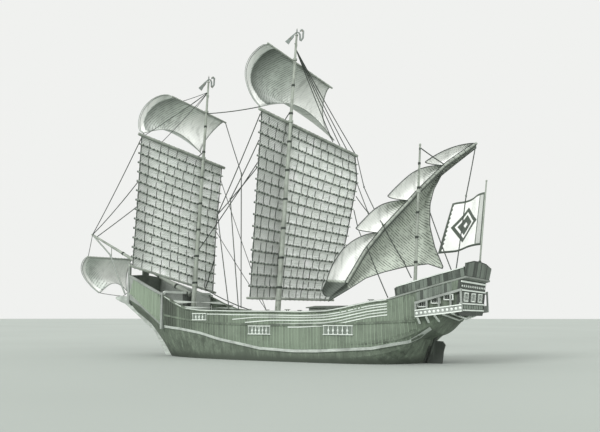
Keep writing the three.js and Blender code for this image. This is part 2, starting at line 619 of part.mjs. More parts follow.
add("cabin_front", cabinFront, DECK_WOOD);

const door = (() => {
  const [px, py] = DOOR.pin;
  const x = CABIN_FRONT_X + 0.005;
  const leaf = block([x, DOOR.y[0], DOOR.z[0]], [x + DOOR.thick, DOOR.y[1], DOOR.z[1]]);
  const knuckles = [3.5, 4.0].map((z) => join(
    collar(z - 0.06, z + 0.06, () => DOOR.pinRadius, 0.04, 8).translate(px, py, 0),
    block([x, DOOR.y[1] - 0.1, z - 0.05], [x + DOOR.thick, DOOR.y[1] + 0.005, z + 0.05]),
  ));
  return cut(join(leaf, ...knuckles), clearance([px, py, 3], [px, py, 5], DOOR.pinRadius, 8));
})();
add("cabin_door", door, DARK_WOOD);

add("poop_deck", cut(poopSlab(), mast("mizzen", GAP)), DECK_WOOD);

const poopRail = (() => {
  const { xFront, xAft, height, thick, flare } = POOP_RAIL;
  const xs = [xAft, -14.3, -13.4, -12.5, -11.5, -10.7, xFront];
  const side = loft(xs.map((x) => {
    const [y] = along(POOP_EDGE, x);
    const [z, round] = [poopTop(x) + GAP, x === xFront ? 0.12 : 0];
    const top = z + height - round;
    const o = flare;
    return [[-0.04, z], [o - 0.04, top - 0.1], [o, top - 0.1], [o, top], [o - thick - 0.08, top],
      [o - thick - 0.08, top - 0.1], [o - thick - 0.04, top - 0.1], [-thick - 0.04, z]]
      .map(([across, h]) => [x, y + across, h]);
  }));
  const z = poopTop(xAft);
  const taffrail = new THREE.Shape([[-3.16, z - 0.02], [3.16, z - 0.02], [3.32, 6.82], [1.6, 7.06],
    [0.2, 7.1], [0.2, 7.18], [-0.2, 7.18], [-0.2, 7.1], [-1.6, 7.06], [-3.32, 6.82]]
    .map(([y, h]) => new THREE.Vector2(y, h)));
  const g = new THREE.ExtrudeGeometry(taffrail, { depth: thick, bevelEnabled: false });
  g.rotateX(Math.PI / 2).rotateZ(Math.PI / 2);
  const p = g.attributes.position;
  for (let i = 0; i < p.count; i++) {
    p.setX(i, xAft - 0.02 + p.getX(i) - 0.2 * (p.getZ(i) - z));
  }
  return cut(join(side, mirrored(side), g), poopSlab(GAP));
})();
add("poop_rail", poopRail, PALE_WOOD);

const gallery = (() => {
  const { rows, shelf, rail, out } = GALLERY;
  const band = (low, height) => loft(rows.map((r) => [[r[0], r[1] - 0.06, r[low]],
    [r[0], r[1] + out, r[low]], [r[0], r[1] + out, r[low] + height], [r[0], r[1] - 0.06, r[low] + height]]));
  const posts = [-11.76, -12.5, -13.3, -14.05, -14.74].map((x) => {
    const [y, low, high] = along(rows, x);
    return block([x - 0.06, y + out - 0.14, low + shelf / 2], [x + 0.06, y + out - 0.02, high + rail / 2]);
  });
  const aroundTransom = block([-14.9, -3.31, 3.3], [-14.3, 3.31, 5.9]);
  return cut(join(band(2, shelf), band(3, rail), ...posts), sideSolid, aroundTransom);
})();
addPair("gallery", gallery, PALE_WOOD);

// Masts and bowsprit
for (const kind of ["fore", "main", "mizzen"]) {
  const { x0, rake, truck, rFoot, rTruck } = MASTS[kind];
  const z = MAST_FOOT[kind];
  const at = (h) => [x0 - rake * h, 0, h];
  const pieces = [mast(kind), pole(at(z), at(z + 0.5), rFoot + 0.16, rFoot + 0.12, MAST_SIDES)];
  if (kind === "mizzen") pieces.push(pole(at(truck - 0.02), at(truck + 0.1), 0.1, 0.06, 12));
  else {
    pieces.push(pole(at(truck - 0.02), at(truck + 0.08), rTruck + 0.05, rTruck + 0.02, 12),
      pole(at(truck), at(truck + 0.6), 0.03, 0.03, 12));
  }
  add(`${kind}mast`, cut(join(...pieces), deckSolid), SPAR_WOOD);
}
const sling = [SPRIT.x, 0, bowspritAt(SPRIT.x)[2]];
const SLING = { radius: 0.035, knob: 0.06, zYard: SPRIT.yard[0][1], yardRadius: 0.09 };
const slingFoot = SLING.zYard - SLING.yardRadius * Math.cos(Math.PI / 10) - RUN; // under the yard's flat
add("bowsprit", join(bowsprit(), pole([SPRIT.x, 0, slingFoot - 0.03], sling, SLING.radius, SLING.radius, 10),
  pole([SPRIT.x, 0, slingFoot - 0.05], [SPRIT.x, 0, slingFoot], SLING.knob, SLING.knob, 10)), SPAR_WOOD);

// Sails
// Local frame of a mast: s, then w towards the stern side of the sail, then t up the mast.
function mastFrame(x0, rake, angle) {
  return new THREE.Matrix4().makeTranslation(x0, 0, 0)
    .multiply(new THREE.Matrix4().makeRotationY(-Math.atan(rake)))
    .multiply(new THREE.Matrix4().makeRotationZ(THREE.MathUtils.degToRad(angle)));
}
const FRAMES = {
  fore: mastFrame(MASTS.fore.x0, MASTS.fore.rake, YARD_ANGLE),
  main: mastFrame(MASTS.main.x0, MASTS.main.rake, YARD_ANGLE),
  mizzen: mastFrame(MASTS.mizzen.x0, MASTS.mizzen.rake, LATEEN_ANGLE),
  sprit: mastFrame(SPRIT.x, 0, YARD_ANGLE),
};
function mastRadius(kind, t) {
  const { truck, rFoot, rTruck } = MASTS[kind];
  const foot = MAST_FOOT[kind];
  return lerp(rFoot, rTruck, (t - foot) / (truck - foot));
}

// A round timber bent within the sail's plane, through points given as s and t.
function bentPole(line, lee, radius, grow) {
  return loft(line.map(([s, t], i) => {
    const [a, b] = [line[Math.max(i - 1, 0)], line[Math.min(i + 1, line.length - 1)]];
    const way = new THREE.Vector2(b[0] - a[0], b[1] - a[1]).normalize();
    const end = i === 0 ? -grow : i === line.length - 1 ? grow : 0;
    return Array.from({ length: 10 }, (_, k) => {
      const turn = (2 * Math.PI * k) / 10;
      const [across, out] = [(radius + grow) * Math.cos(turn), (radius + grow) * Math.sin(turn)];
      return [s + way.x * end - way.y * across, out - lee, t + way.y * end + way.x * across];
    });
  }));
}

// A yard or boom on the lee side of its mast, with the parrel that holds it to the mast.
function spar(kind, line, lee, radius, grow = 0) {
  const [from, to] = [line[0], line[line.length - 1]];
  const beam = line.length > 2 ? bentPole(line, lee, radius, grow)
    : pole([from[0], -lee, from[1]], [to[0], -lee, to[1]], radius, radius, 10, grow);
  if (grow) return beam;
  const [t] = along(line, 0);
  const ring = collar(t - 0.09, t + 0.09, (h) => mastRadius(kind, h), mastRadius(kind, t) + 0.08);
  const near = mastRadius(kind, t) + 0.04;
  return join(beam, ring, block([-0.07, -lee, t - 0.08], [0.07, -near, t + 0.08]));
}

// A line from one end of a sail to the other, lengthened at both ends.
function stretched(from, to, by) {
  const way = new THREE.Vector2(from[0] - to[0], from[1] - to[1]).normalize().multiplyScalar(by);
  return [[from[0] + way.x, from[1] + way.y], [to[0] - way.x, to[1] - way.y]];
}

const steps = (n) => Array.from({ length: n + 1 }, (_, i) => i / n);

// A matted lugsail: each batten is a thick row of the same sheet, and its ends stand out of the edges.
function lugsail(kind, sail) {
  const half = 0.05; // batten half height
  const edge = (rows, v) => {
    const t = lerp(rows[0][1], rows[rows.length - 1][1], v);
    return [along(rows.map(([s, h]) => [h, s]), t)[0], t];
  };
  const height = sail.port[sail.port.length - 1][1] - sail.port[0][1];
  const rows = [];
  for (let i = 0; i <= sail.battens; i++) {
    const v = i / sail.battens;
    // the sheet ends on the axis of the boom and of the yard
    const around = [[-1.5, false], [-1, true], [0, true], [1, true], [1.5, false]]
      .filter(([k]) => (i > 0 || k >= 0) && (i < sail.battens || k <= 0))
      .filter(([k]) => k !== 0 || i === 0 || i === sail.battens);
    for (const [k, thick] of around) rows.push({ v: v + (k * half) / height, thick });
  }
  const point = (u, k) => {
    const { v, thick } = rows[k];
    const [p, q] = [edge(sail.port, v), edge(sail.starboard, v)];
    const out = thick ? 0.2 / Math.abs(p[0] - q[0]) : 0;
    const f = lerp(-out, 1 + out, u);
    const inside = Math.min(Math.max(v, 0), 1);
    const w = -sail.lee - sail.belly * Math.sin(Math.PI * u) * Math.sin(Math.PI * inside) ** 0.7;
    return [lerp(p[0], q[0], f), w, lerp(p[1], q[1], f)];
  };
  return sheet(steps(6), rows.map((_, k) => k), point, (u, k) => (rows[k].thick ? 0.1 : 0.04));
}

const LUGS = [
  { kind: "fore", sail: FORE_LUG, top: FORE_TOP },
  { kind: "main", sail: MAIN_LUG, top: MAIN_TOP },
];
for (const { kind, sail, top } of LUGS) {
  const last = (rows) => rows[rows.length - 1];
  const yardEnds = stretched(last(sail.port), last(sail.starboard), 0.32);
  const boomEnds = stretched(sail.port[0], sail.starboard[0], 0.32);
  const frame = FRAMES[kind];
  const yard = (grow) => spar(kind, yardEnds, sail.lee, 0.13, grow);
  const boom = (grow) => spar(kind, boomEnds, sail.lee, 0.1, grow);
  add(`${kind}_lug_yard`, yard(0).applyMatrix4(frame), SPAR_WOOD);
  add(`${kind}_lug_boom`, boom(0).applyMatrix4(frame), SPAR_WOOD);
  add(`${kind}_lug_sail`, cut(lugsail(kind, sail), yard(GAP), boom(GAP)).applyMatrix4(frame), MATTING);
  const topYard = (grow) => spar(kind, stretched(...top.yard, 0.28), top.lee, 0.08, grow);
  const cloth = squareSail(top, sail.lee);
  add(`${kind}_topsail_yard`, topYard(0).applyMatrix4(frame), SPAR_WOOD);
  add(`${kind}_topsail`, cut(cloth, topYard(GAP)).applyMatrix4(frame), DARK_CLOTH);
}

// A square sail that hangs from its yard and is held at its two clews, with an arched foot.
function squareSail(sail, leeFoot) {
  const [port, middle, starboard] = sail.depth;
  const point = (u, v) => {
    const [head, foot] = [sail.yard, sail.clews]
      .map(([a, b]) => [lerp(a[0], b[0], u), lerp(a[1], b[1], u)]);
    const nearPort = (1 - u) ** 2;
    const depth = nearPort * port + (1 - u) * u * (4 * middle - port - starboard) + u * u * starboard;
    const s = lerp(foot[0], head[0], v) + sail.bow * nearPort * Math.sin(Math.PI * v);
    const w = -lerp(leeFoot, sail.lee ?? 0, v) - depth * Math.sin(Math.PI * v) ** 0.6;
    const t = lerp(foot[1], head[1], v) + sail.arch * Math.sin(Math.PI * u) * (1 - v) ** 2
      + sail.lift * nearPort * Math.sin(Math.PI * v ** sail.skew) ** 0.5;
    return [s, w, t];
  };
  const rows = [0, 0.03, 0.08, 0.16, 0.27, 0.4, 0.55, 0.7, 0.82, 0.91, 0.96, 1];
  return sheet(steps(12), rows, point, () => 0.03);
}

const spritYard = (grow) => pole([SPRIT.yard[0][0] + 0.2, 0, SPRIT.yard[0][1]], [SPRIT.yard[1][0] - 0.2, 0,
  SPRIT.yard[1][1]], SLING.yardRadius + grow, SLING.yardRadius + grow, 10);
const slingHole = clearance([0, 0, 8], [0, 0, 10], SLING.radius, 10);
const slingRoom = pole([0, 0, 8.6], [0, 0, 9], 0.075, 0.075, 10);
add("spritsail_yard", cut(spritYard(0), slingHole).applyMatrix4(FRAMES.sprit), SPAR_WOOD);
const spritsail = cut(squareSail(SPRIT, 0), spritYard(GAP), slingRoom);
add("spritsail", spritsail.applyMatrix4(FRAMES.sprit), DARK_CLOTH);

// Lateen
const lateenSpar = LATEEN.yard.slice(1).map(([, s, t]) => [s, t]);
const lateenYard = (grow) => spar("mizzen", lateenSpar, LATEEN.lee, 0.1, grow);
add("lateen_yard", lateenYard(0).applyMatrix4(FRAMES.mizzen), SPAR_WOOD);
const lateen = (() => {
  const lobeReach = (v) => {
    const [from, to, opening, roundness, most] = LATEEN.lobes.findLast((lobe) => v >= lobe[0]);
    const f = (v - from) / (to - from);
    const open = Math.sqrt(1 - (1 - Math.min(f / opening, 1)) ** 2);
    return Math.max(most * open * Math.sqrt(1 - Math.min(f, 1) ** roundness), LATEEN.seam);
  };
  const share = 0.3; // of the cloth's columns ahead of the yard
  const point = (u, v) => {
    const yard = along(LATEEN.yard, v);
    const low = along(LATEEN.edge, v);
    const reach = lobeReach(v);
    const out = [yard[0] + reach, yard[1]];
    const ahead = u < share;
    const [a, b, f] = ahead ? [out, yard, u / share] : [yard, low, (u - share) / (1 - share)];
    const belly = (ahead ? 0.3 * reach : 0.9 * Math.sin(Math.PI * v)) * Math.sin(Math.PI * f);
    return [lerp(a[0], b[0], f), -LATEEN.lee - 0.1 - belly, lerp(a[1], b[1], f)];
  };
  const us = [0, 0.15, share, 0.47, 0.65, 0.83, 1];
  const vs = LATEEN.lobes.flatMap(([from, to, opening]) => [0, 0.35, 1, 3, 5, 7, 8.5, 9.5]
    .map((k) => lerp(from, to, Math.min(opening, 0.12) * Math.min(k, 1) + (k > 1 ? k / 10 - 0.1 : 0))));
  return cut(sheet(us, [...vs, 1], point, () => 0.03), lateenYard(GAP));
})();
add("lateen_sail", lateen.applyMatrix4(FRAMES.mizzen), PALE_CLOTH);

// Vanes, flag
// A vane's two wings, as x and height above the truck.
const VANE = {
  ahead: [[0, 0.34], [0.5, 0.02], [1.12, -0.42], [0.75, -0.72], [0.55, -0.42], [0.3, -0.18], [0.2, 0.12],
    [0, 0.16]],
  behind: [[0, 0.32], [0, 0.2], [-0.14, 0.17], [-0.25, -0.02], [-0.3, -0.5], [-0.5, -0.62],
    [-0.72, -0.35], [-0.72, 0.3], [-0.5, 0.5], [-0.3, 0.42], [-0.3, 0.25], [-0.45, 0.3], [-0.56, 0.2],
    [-0.56, -0.3], [-0.45, -0.42], [-0.42, 0], [-0.25, 0.24]],
};
for (const kind of ["fore", "main"]) {
  const { x0, rake } = MASTS[kind];
  const truck = MASTS[kind].truck * Math.hypot(1, rake); // measured along the mast
  const bore = clearance([0, 0, truck - 0.8], [0, 0, truck + 1.2], 0.03, 12);
  const wings = [VANE.ahead, VANE.behind]
    .map((outline) => cut(plate(outline.map(([x, z]) => [x, truck + z]), -0.015, 0.015), bore));
  const sleeve = collar(truck + 0.14, truck + 0.5, () => 0.03, 0.05, 12);
  const frame = new THREE.Matrix4().makeTranslation(x0, 0, 0)
    .multiply(new THREE.Matrix4().makeRotationY(-Math.atan(rake)));
  add(`vane_${kind}`, join(...wings, sleeve).applyMatrix4(frame), IRON);
}

const flagPoleAt = (z) => [FLAG_POLE.x - FLAG_POLE.rake * (z - FLAG_POLE.z), 0, z];
const flagPole = (grow = 0) => pole(flagPoleAt(FLAG_POLE.z + GAP), flagPoleAt(FLAG_POLE.top),
  FLAG_POLE.radius + grow, FLAG_POLE.radius * 0.8 + grow, 10);
add("flag_pole", cut(flagPole(), block([-16, -1, 7], [-14, 1, FLAG_POLE.z + GAP])), SPAR_WOOD);
const flag = (() => {
  const a = THREE.MathUtils.degToRad(FLAG.angle);
  const point = (u, v) => {
    const hoist = lerp(FLAG.hoist[0], FLAG.hoist[1], v);
    const fly = [0, 1].map((k) => lerp(FLAG.fly[0][k], FLAG.fly[1][k], v));
    const z = lerp(hoist, fly[1], u);
    const [s, w] = [fly[0] * u, FLAG.wave * Math.sin(2 * Math.PI * 1.25 * u + v) * Math.min(u * 3, 1)];
    const at = flagPoleAt(hoist);
    return [at[0] + s * Math.cos(a) - w * Math.sin(a), s * Math.sin(a) + w * Math.cos(a), z];
  };
  const stick = block([-17, -1, 7], [-15.2, 1, 8]);
  return cut(sheet(steps(14), steps(4), point, () => 0.02), flagPole(GAP), stick);
})();
add("flag", flag, PALE_CLOTH);

// On deck
for (const [name, [x0, x1, y]] of Object.entries(HATCHES)) {
  const z = deckAt((x0 + x1) / 2);
  const coaming = block([x0, -y, z - 0.2], [x1, y, z + 0.24]);
  const lid = block([x0 + 0.06, -y + 0.06, z], [x1 - 0.06, y - 0.06, z + 0.32]);
  add(name, cut(join(coaming, lid), deckSolid), DECK_WOOD);
}
const house = DECKHOUSE;
add("deckhouse_walls", cut(
  block([house.x[0], -house.y, 2.4], [house.x[1], house.y, house.top]),
  block([house.x[0] + house.wall, -house.y + house.wall, 2],
    [house.x[1] - house.wall, house.y - house.wall, 5]),
  block([house.x[0] - 1, -0.42, 2.5], [house.x[0] + 0.5, 0.42, 3.7]),
  block([-3.9, -2, 3.15], [-3.0, 2, 3.6]),
  deckSolid,
), DECK_WOOD);
const roofOutline = [[-house.y - house.eaves, 0], [house.y + house.eaves, 0], [house.y + house.eaves, 0.07],
  [0, 0.2], [-house.y - house.eaves, 0.07]].map(([y, z]) => new THREE.Vector2(y, z));
const roof = new THREE.ExtrudeGeometry(new THREE.Shape(roofOutline),
  { depth: house.x[1] - house.x[0] + 2 * house.eaves, bevelEnabled: false })
  .rotateX(Math.PI / 2).rotateZ(Math.PI / 2).translate(house.x[0] - house.eaves, 0, house.top + GAP);
add("deckhouse_roof", roof, DARK_WOOD);

const axle = { x: WINDLASS.x, z: WINDLASS.z };
const bitts = (() => {
  const posts = [-1, 1].map((k) => {
    const y = k * WINDLASS.halfSpan;
    return block([axle.x - 0.16, y - 0.1, 2.6], [axle.x + 0.16, y + 0.1, axle.z + 0.35]);
  });
  const sill = block([axle.x - 0.16, -WINDLASS.halfSpan, 2.6], [axle.x + 0.16, WINDLASS.halfSpan, 2.98]);
  const bore = clearance([axle.x, -2, axle.z], [axle.x, 2, axle.z], WINDLASS.journal, 12);
  return cut(join(...posts, sill), bore, deckSolid);
})();
add("windlass_posts", bitts, DARK_WOOD);
const reach = WINDLASS.halfSpan + 0.3;
const inner = WINDLASS.halfSpan - 0.11;
add("windlass_drum", join(
  pole([axle.x, -reach, axle.z], [axle.x, reach, axle.z], WINDLASS.journal, WINDLASS.journal, 12),
  pole([axle.x, -inner, axle.z], [axle.x, inner, axle.z], WINDLASS.barrel, WINDLASS.barrel, 8),
  ...[-1, 1].flatMap((k) => [0, 1].map((n) => {
    const y = k * (WINDLASS.halfSpan + 0.2) + (n ? 0.03 : -0.03);
    const [dx, dz] = n ? [WINDLASS.bar, 0] : [0, WINDLASS.bar];
    return pole([axle.x - dx, y, axle.z - dz], [axle.x + dx, y, axle.z + dz], 0.03, 0.03, 6);
  })),
), SPAR_WOOD);

export default ship;
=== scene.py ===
"""A three-masted red seal ship under sail: the finishes, planking, sails, flag and rigging that dress
the ship's frame, with its camera, light and floor. Laid out as an add-on and run as a script.
Sizes are in metres, +X is the bow, +Y is port, and z is 0 at the waterline."""

import math
import random

import bmesh
import bpy
from bpy.props import FloatProperty, FloatVectorProperty, IntProperty, PointerProperty
from bpy.types import Operator, Panel, PropertyGroup
from mathutils import Matrix, Vector
from mathutils.bvhtree import BVHTree


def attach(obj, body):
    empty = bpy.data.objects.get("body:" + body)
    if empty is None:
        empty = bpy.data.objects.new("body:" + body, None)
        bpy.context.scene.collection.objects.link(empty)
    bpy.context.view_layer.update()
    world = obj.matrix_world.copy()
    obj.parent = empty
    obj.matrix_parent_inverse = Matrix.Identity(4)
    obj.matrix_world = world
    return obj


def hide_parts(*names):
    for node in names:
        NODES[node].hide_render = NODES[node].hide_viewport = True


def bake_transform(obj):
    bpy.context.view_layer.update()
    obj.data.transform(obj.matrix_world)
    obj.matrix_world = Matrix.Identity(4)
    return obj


bl_info = {
    "name": "Red seal ship",
    "version": (1, 0, 0),
    "blender": (4, 5, 0),
    "location": "3D View > Sidebar > Ship",
    "description": "Dresses a three-masted merchant ship under mat and cloth sails",
    "category": "Add Mesh",
}

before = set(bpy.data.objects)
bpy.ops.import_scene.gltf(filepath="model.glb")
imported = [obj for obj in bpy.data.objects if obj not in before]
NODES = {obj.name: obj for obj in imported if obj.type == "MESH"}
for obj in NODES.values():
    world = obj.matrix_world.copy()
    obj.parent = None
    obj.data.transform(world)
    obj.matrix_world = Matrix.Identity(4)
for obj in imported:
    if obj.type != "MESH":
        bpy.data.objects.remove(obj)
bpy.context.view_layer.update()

# Camera: the picture's view from the port quarter, a little above the water.
CAMERA_AT = Vector((-27.5, 47.631, 3.2))
CAMERA_LOOK = Vector((0.48561, -0.86135, 0.14920))
CAMERA_LENS = 40.56
CAMERA_SENSOR = 36.0
CAMERA_CLIP = (0.5, 6000)
FLOOR_SIZE = 5000
LIGHTS = (("key_light", "sun", 25, (-0.2, -0.87, -0.55)), ("fill_light", "fill", 60, (0.9, -0.45, -0.1)))

# Masts: x where the axis meets the waterline, metres aft for each metre up, truck height, radii.
MASTS = {
    "fore": {"x": 10.36, "rake": 0.0565, "truck": 24.55, "r_foot": 0.22, "r_truck": 0.085},
    "main": {"x": 1.732, "rake": 0.0756, "truck": 27.1, "r_foot": 0.25, "r_truck": 0.09},
    "mizzen": {"x": -9.993, "rake": 0.0647, "truck": 16.1, "r_foot": 0.15, "r_truck": 0.07},
}
MAST_FOOT = 2.6
YARD_ANGLE = 70.0  # the square yards' turn from the bow
LATEEN_ANGLE = 30.0
SPRIT_X = 20.2  # the spritsail's sling on the bowsprit

# Sails in their mast's frame: s towards port and ahead, t up the mast, lee ahead of the mast.
# shade is the share of each lugsail's width, from its port edge, whose mats are painted in shade
LUGS = {
    "fore": {
        "lee": 0.42, "battens": 14, "belly": 0.45, "seams": 8, "shade": 0.15,
        "port": [(5.87, 7.32), (5.88, 12.93), (5.98, 18.52)],
        "starboard": [(-2.21, 5.57), (-2.11, 11.21), (-2.31, 17.12)],
    },
    "main": {
        "lee": 0.45, "battens": 16, "belly": 0.5, "seams": 12, "shade": 0.36,
        "port": [(2.55, 4.69), (2.64, 12.27), (2.74, 20.07)],
        "starboard": [(-6.29, 4.91), (-7.79, 10.84), (-8.67, 16.04), (-8.22, 18.31)],
    },
}
# A square sail swells by depth at its port edge, middle and starboard edge. Its port edge also rises by
# Its port edge also rises by lift, most at the height given by skew, and bows outwards by bow. Dark is how
# dark its port side is painted as shade, flat the size it was cut to, and area its cloth.
SQUARE_SAILS = {
    "main_topsail": {
        "mast": "main", "body": "main_sails", "yard_node": "main_topsail_yard",
        "yard": [(2.52, 25.68), (-4.49, 23.84)], "clews": [(2.91, 20.32), (-5.51, 19.16)],
        "arch": 1.5, "depth": (2.2, 3.0, 1.25), "lift": 0.9, "skew": 1.0, "bow": 0.4, "dark": 2.05,
        "lee": 0.32, "lee_foot": 0.45, "flat": (9.5, 8.6), "area": 57.8,
    },
    "fore_topsail": {
        "mast": "fore", "body": "fore_sails", "yard_node": "fore_topsail_yard",
        "yard": [(3.19, 22.44), (-2.11, 21.38)], "clews": [(5.82, 18.73), (-0.01, 17.99)],
        "arch": 1.1, "depth": (2.6, 2.9, 1.05), "lift": 1.2, "skew": 1.5, "bow": 0.1, "dark": 1.9,
        "lee": 0.3, "lee_foot": 0.42, "flat": (7.4, 7.2), "area": 40.5,
    },
    "spritsail": {
        "mast": "sprit", "body": "bow_sail", "yard_node": "spritsail_yard",
        "yard": [(2.23, 8.86), (-2.17, 8.86)], "clews": [(0.98, 5.54), (-1.88, 5.7)],
        "arch": 0.9, "depth": (1.7, 1.9, 0.75), "lift": 0.3, "skew": 1.0, "bow": 0.4, "dark": 1.4,
        "lee": 0.0, "lee_foot": 0.0, "flat": (4.9, 5.4), "area": 18.6,
    },
}


def mast_frame(x, rake, angle):
    """The local frame of a mast's sails: s, w, t to the ship's x, y, z."""
    lean = Matrix.Rotation(-math.atan(rake), 4, "Y")
    return Matrix.Translation((x, 0, 0)) @ lean @ Matrix.Rotation(math.radians(angle), 4, "Z")


SAIL_FRAMES = {kind: mast_frame(mast["x"], mast["rake"], LATEEN_ANGLE if kind == "mizzen" else YARD_ANGLE)
               for kind, mast in MASTS.items()}
SAIL_FRAMES["sprit"] = mast_frame(SPRIT_X, 0, YARD_ANGLE)

# The lateen in the mizzen's frame, from its tack to its peak.
LATEEN = {
    "lee": 0.3,
    # fraction of the way up, s, t: the tack of the cloth, then the bent yard
    "yard": [(0, 6.2, 4.4), (0.1, 5, 5.5), (0.271, 3.7, 7.96), (0.407, 2.4, 9.75), (0.653, -0.2, 12.8),
             (0.816, -2, 14.75), (1, -4.35, 16.6)],
    # where the cloth ends below the yard: fraction, s, t
    "edge": [(0, 6.3, 4.05), (0.09, 4.99, 4.92), (0.19, 3.58, 5.93), (0.28, 2.27, 6.45),
             (0.36, 0.65, 6.94), (0.44, -1, 7.24), (0.5, -2.2, 6.9), (0.55, -1.45, 8.5), (0.61, -1.02, 10.1),
             (0.68, -0.98, 11.7), (0.74, -1.22, 12.84), (0.81, -1.75, 13.95), (0.88, -2.75, 14.85),
             (1, -4.35, 16.25)],
    # the lobes ahead of the yard: fraction from, fraction to, share in which it opens, roundness, reach
    "lobes": [(0, 0.377, 0.6, 7, 1.8), (0.377, 0.582, 0.1, 7, 2.0), (0.582, 0.816, 0.1, 7, 1.9),
              (0.816, 1, 0.12, 3, 1.75)],
    # the lobes' painted shade: how dark each lobe is painted towards its upper end
    "lobe_painted_shade": (0.45, 1.25, 0.75, 0.15),  # how dark each lobe gets towards its upper end
    "ahead": 0.3,  # the share of the cloth's width that lies ahead of the yard
    "seam": 0.12,
    "flat": (16.0, 8.4), "area": 62.2,
}
FLAG_POLE = {"x": -15.2, "z": 7.18, "rake": 0.12, "top": 12.8}
FLAG = {"angle": -20.0, "hoist": (8.3, 12.06), "fly": [(3.71, 7.92), (2.83, 11.58)], "wave": 0.16,
        "flat": (3.4, 3.8), "area": 12.0}

SIDES = {"port": 1, "starboard": -1}
FORWARD, ACROSS, UP = (1, 0, 0), (0, 1, 0), (0, 0, 1)

# Tables of the dressing
BOWSPRIT = {"x": 22.92, "z": 11.35, "slope": 0.4915, "bands": (12.0, 14.0, 16.6, 18.6)}
POOP_DECK = {"x": -10.4, "z": 4.71, "slope": 0.27}
POOP_EDGE = [(-15.05, 3.2), (-14.3, 3.34), (-13.4, 3.56), (-12.5, 3.68), (-11.5, 3.82), (-10.4, 3.92),
             (-9.9, 3.95)]
POOP_RAIL = {"front": -10.42, "aft": -14.95, "height": 0.54, "flare": 0.12, "thick": 0.1,
             "cap": (-10.45, -12.5, -13.4, -14.3, -14.96)}
GALLERY = [(-14.8, 3.27, 3.62, 4.98), (-14.3, 3.27, 3.55, 4.85), (-13.4, 3.48, 3.44, 4.6),
           (-12.5, 3.61, 3.34, 4.34), (-11.7, 3.74, 3.24, 4.12)]  # x, half breadth, shelf, upper rail
GALLERY_RAIL = (-14.78, -13.8, -12.8, -11.72)
BOW_RAIL = [(10.83, 2.62), (15.72, 5.41)]
DECK_EDGE = [(-9.8, 3.6), (-5, 3.75), (4.4, 3.72), (8, 3.45), (10.73, 3.05), (13.3, 2.45), (15.4, 1.95)]
DECK_HALF = 3.45
STRAKE = {"height": 0.08, "out": 0.075}
STRAKES = [  # x and how far a strake's middle lies below the top of the boards, from ahead to aft
    [(5.6, 0.14), (-9.7, 0.14)],
    [(3.1, 0.5), (1.1, 0.33), (-0.6, 0.3), (-9.7, 0.3)],
    [(1.9, 0.72), (-0.4, 0.53), (-2.8, 0.5), (-9.7, 0.5)],
    [(0.8, 1.05), (-1.0, 0.8), (-3.0, 0.72), (-9.7, 0.7)],
    [(-1.9, 1.0), (-4.8, 0.92), (-9.7, 0.9)],
]
RAIL_CAP = {"x": (10.4, -9.7), "down": 0.05, "height": 0.07, "out": 0.02}
TAFFRAIL = [(-3.3, 6.82), (-1.6, 7.06), (-0.2, 7.1), (0.2, 7.1), (1.6, 7.06), (3.3, 6.82)]  # y, z of its top
TAFFRAIL_FACE = {"half": 3.1, "foot": 6.0, "lean": 0.2}
# x and how pale the upright boards are there: darkening forward of x 2.5 to near black from x 9.8 to
# 10.9, painted shade of the bow where the side turns from the light, and paler again on the bow wings
BOARD_TONE_AND_SHADE = [(-11.6, 0.34), (-2.0, 0.42), (2.5, 0.34), (6.5, 0.22), (8.8, 0.14), (9.8, 0.0), (10.9, 0.0),
              (11, 0.74), (15.6, 0.85)]
PORTS = [(6.4, 3.3, 0.7, 0.5), (0.6, 2.3, 0.95, 0.6), (-6.0, 2.35, 1.1, 0.62)]  # x, z, half length, height
BALUSTER = [(0, 0.055), (0.05, 0.06), (0.08, 0.035), (0.16, 0.085), (0.27, 0.03), (0.36, 0.03), (0.4, 0.05)]
BALUSTER_SPACE = 0.34
BOSS = [(0, 0), (0, 0.085), (0.015, 0.1), (0.03, 0.06), (0.05, 0.045), (0.055, 0)]
TRUCK = [(0, 0), (0, 0.06), (0.03, 0.075), (0.07, 0.075), (0.1, 0.05), (0.11, 0)]
BOW_BEAM = {"x": 10.73, "z": 5.38, "half": 3.36, "size": 0.2, "corner": 0.34}
QUARTER_WINDOWS = [(-12.15, 4.117), (-13.05, 4.351), (-13.9, 4.572)]
WINDOW_FRAME = (((-0.3, -0.17), (0.3, -0.17)), ((-0.3, 0.17), (0.3, 0.17)), ((-0.3, -0.2), (-0.3, 0.2)),
                ((0.3, -0.2), (0.3, 0.2)))
STERN_WINDOWS = {"y": (-1.8, 0, 1.8), "foot": 4.33, "middle": 4.6, "head": 4.87}
STERN_RAILS = ((3.72, 3.05, 0.1), (4.16, 3.2, 0.1), (5.05, 3.22, 0.1), (5.62, 3.2, 0.12))  # z, half, height
STERN_BOSSES, STERN_PANELS = 5.33, 3.94  # heights
CLEATS = [-8.5, -5.2, -1.8, 1.6, 4.9, 8.6]
MAST_BANDS = {"fore": (6.2, 20.3, 7), "main": (5.6, 22.6, 8), "mizzen": (7.2, 14.6, 5)}
MAST_CLEATS = {"fore": (4.2, 23.2), "main": (4.0, 24.6, 26.2), "mizzen": (13.1, 13.6, 14.1)}
YARD_LASHINGS = ((0, 0.1), (1, 0.13))  # boom and yard: v on the sail, radius

# Small sizes
STRIP_PROUD = 0.018  # how far the seam strips stand over the boards
BOARD_PLAY = 0.006  # how unevenly the boards stand off
BACKING = 1.3  # a board's thickness for each metre that its face stands off
MAT_SWELL = 0.09  # how far a mat swells between two battens
MAT_THICK, CLOTH_THICK, FLAG_THICK = 0.03, 0.012, 0.008
LASHING, LACING, BAND, MAT_SEAM, COIL, BOBSTAY_ROPE = 0.018, 0.02, 0.02, 0.026, 0.032, 0.075  # radii
SLACK = 0.012  # a rope's sag for each metre of its length
ROPE_BLOCK, HEAD_BLOCK = 0.11, 0.13


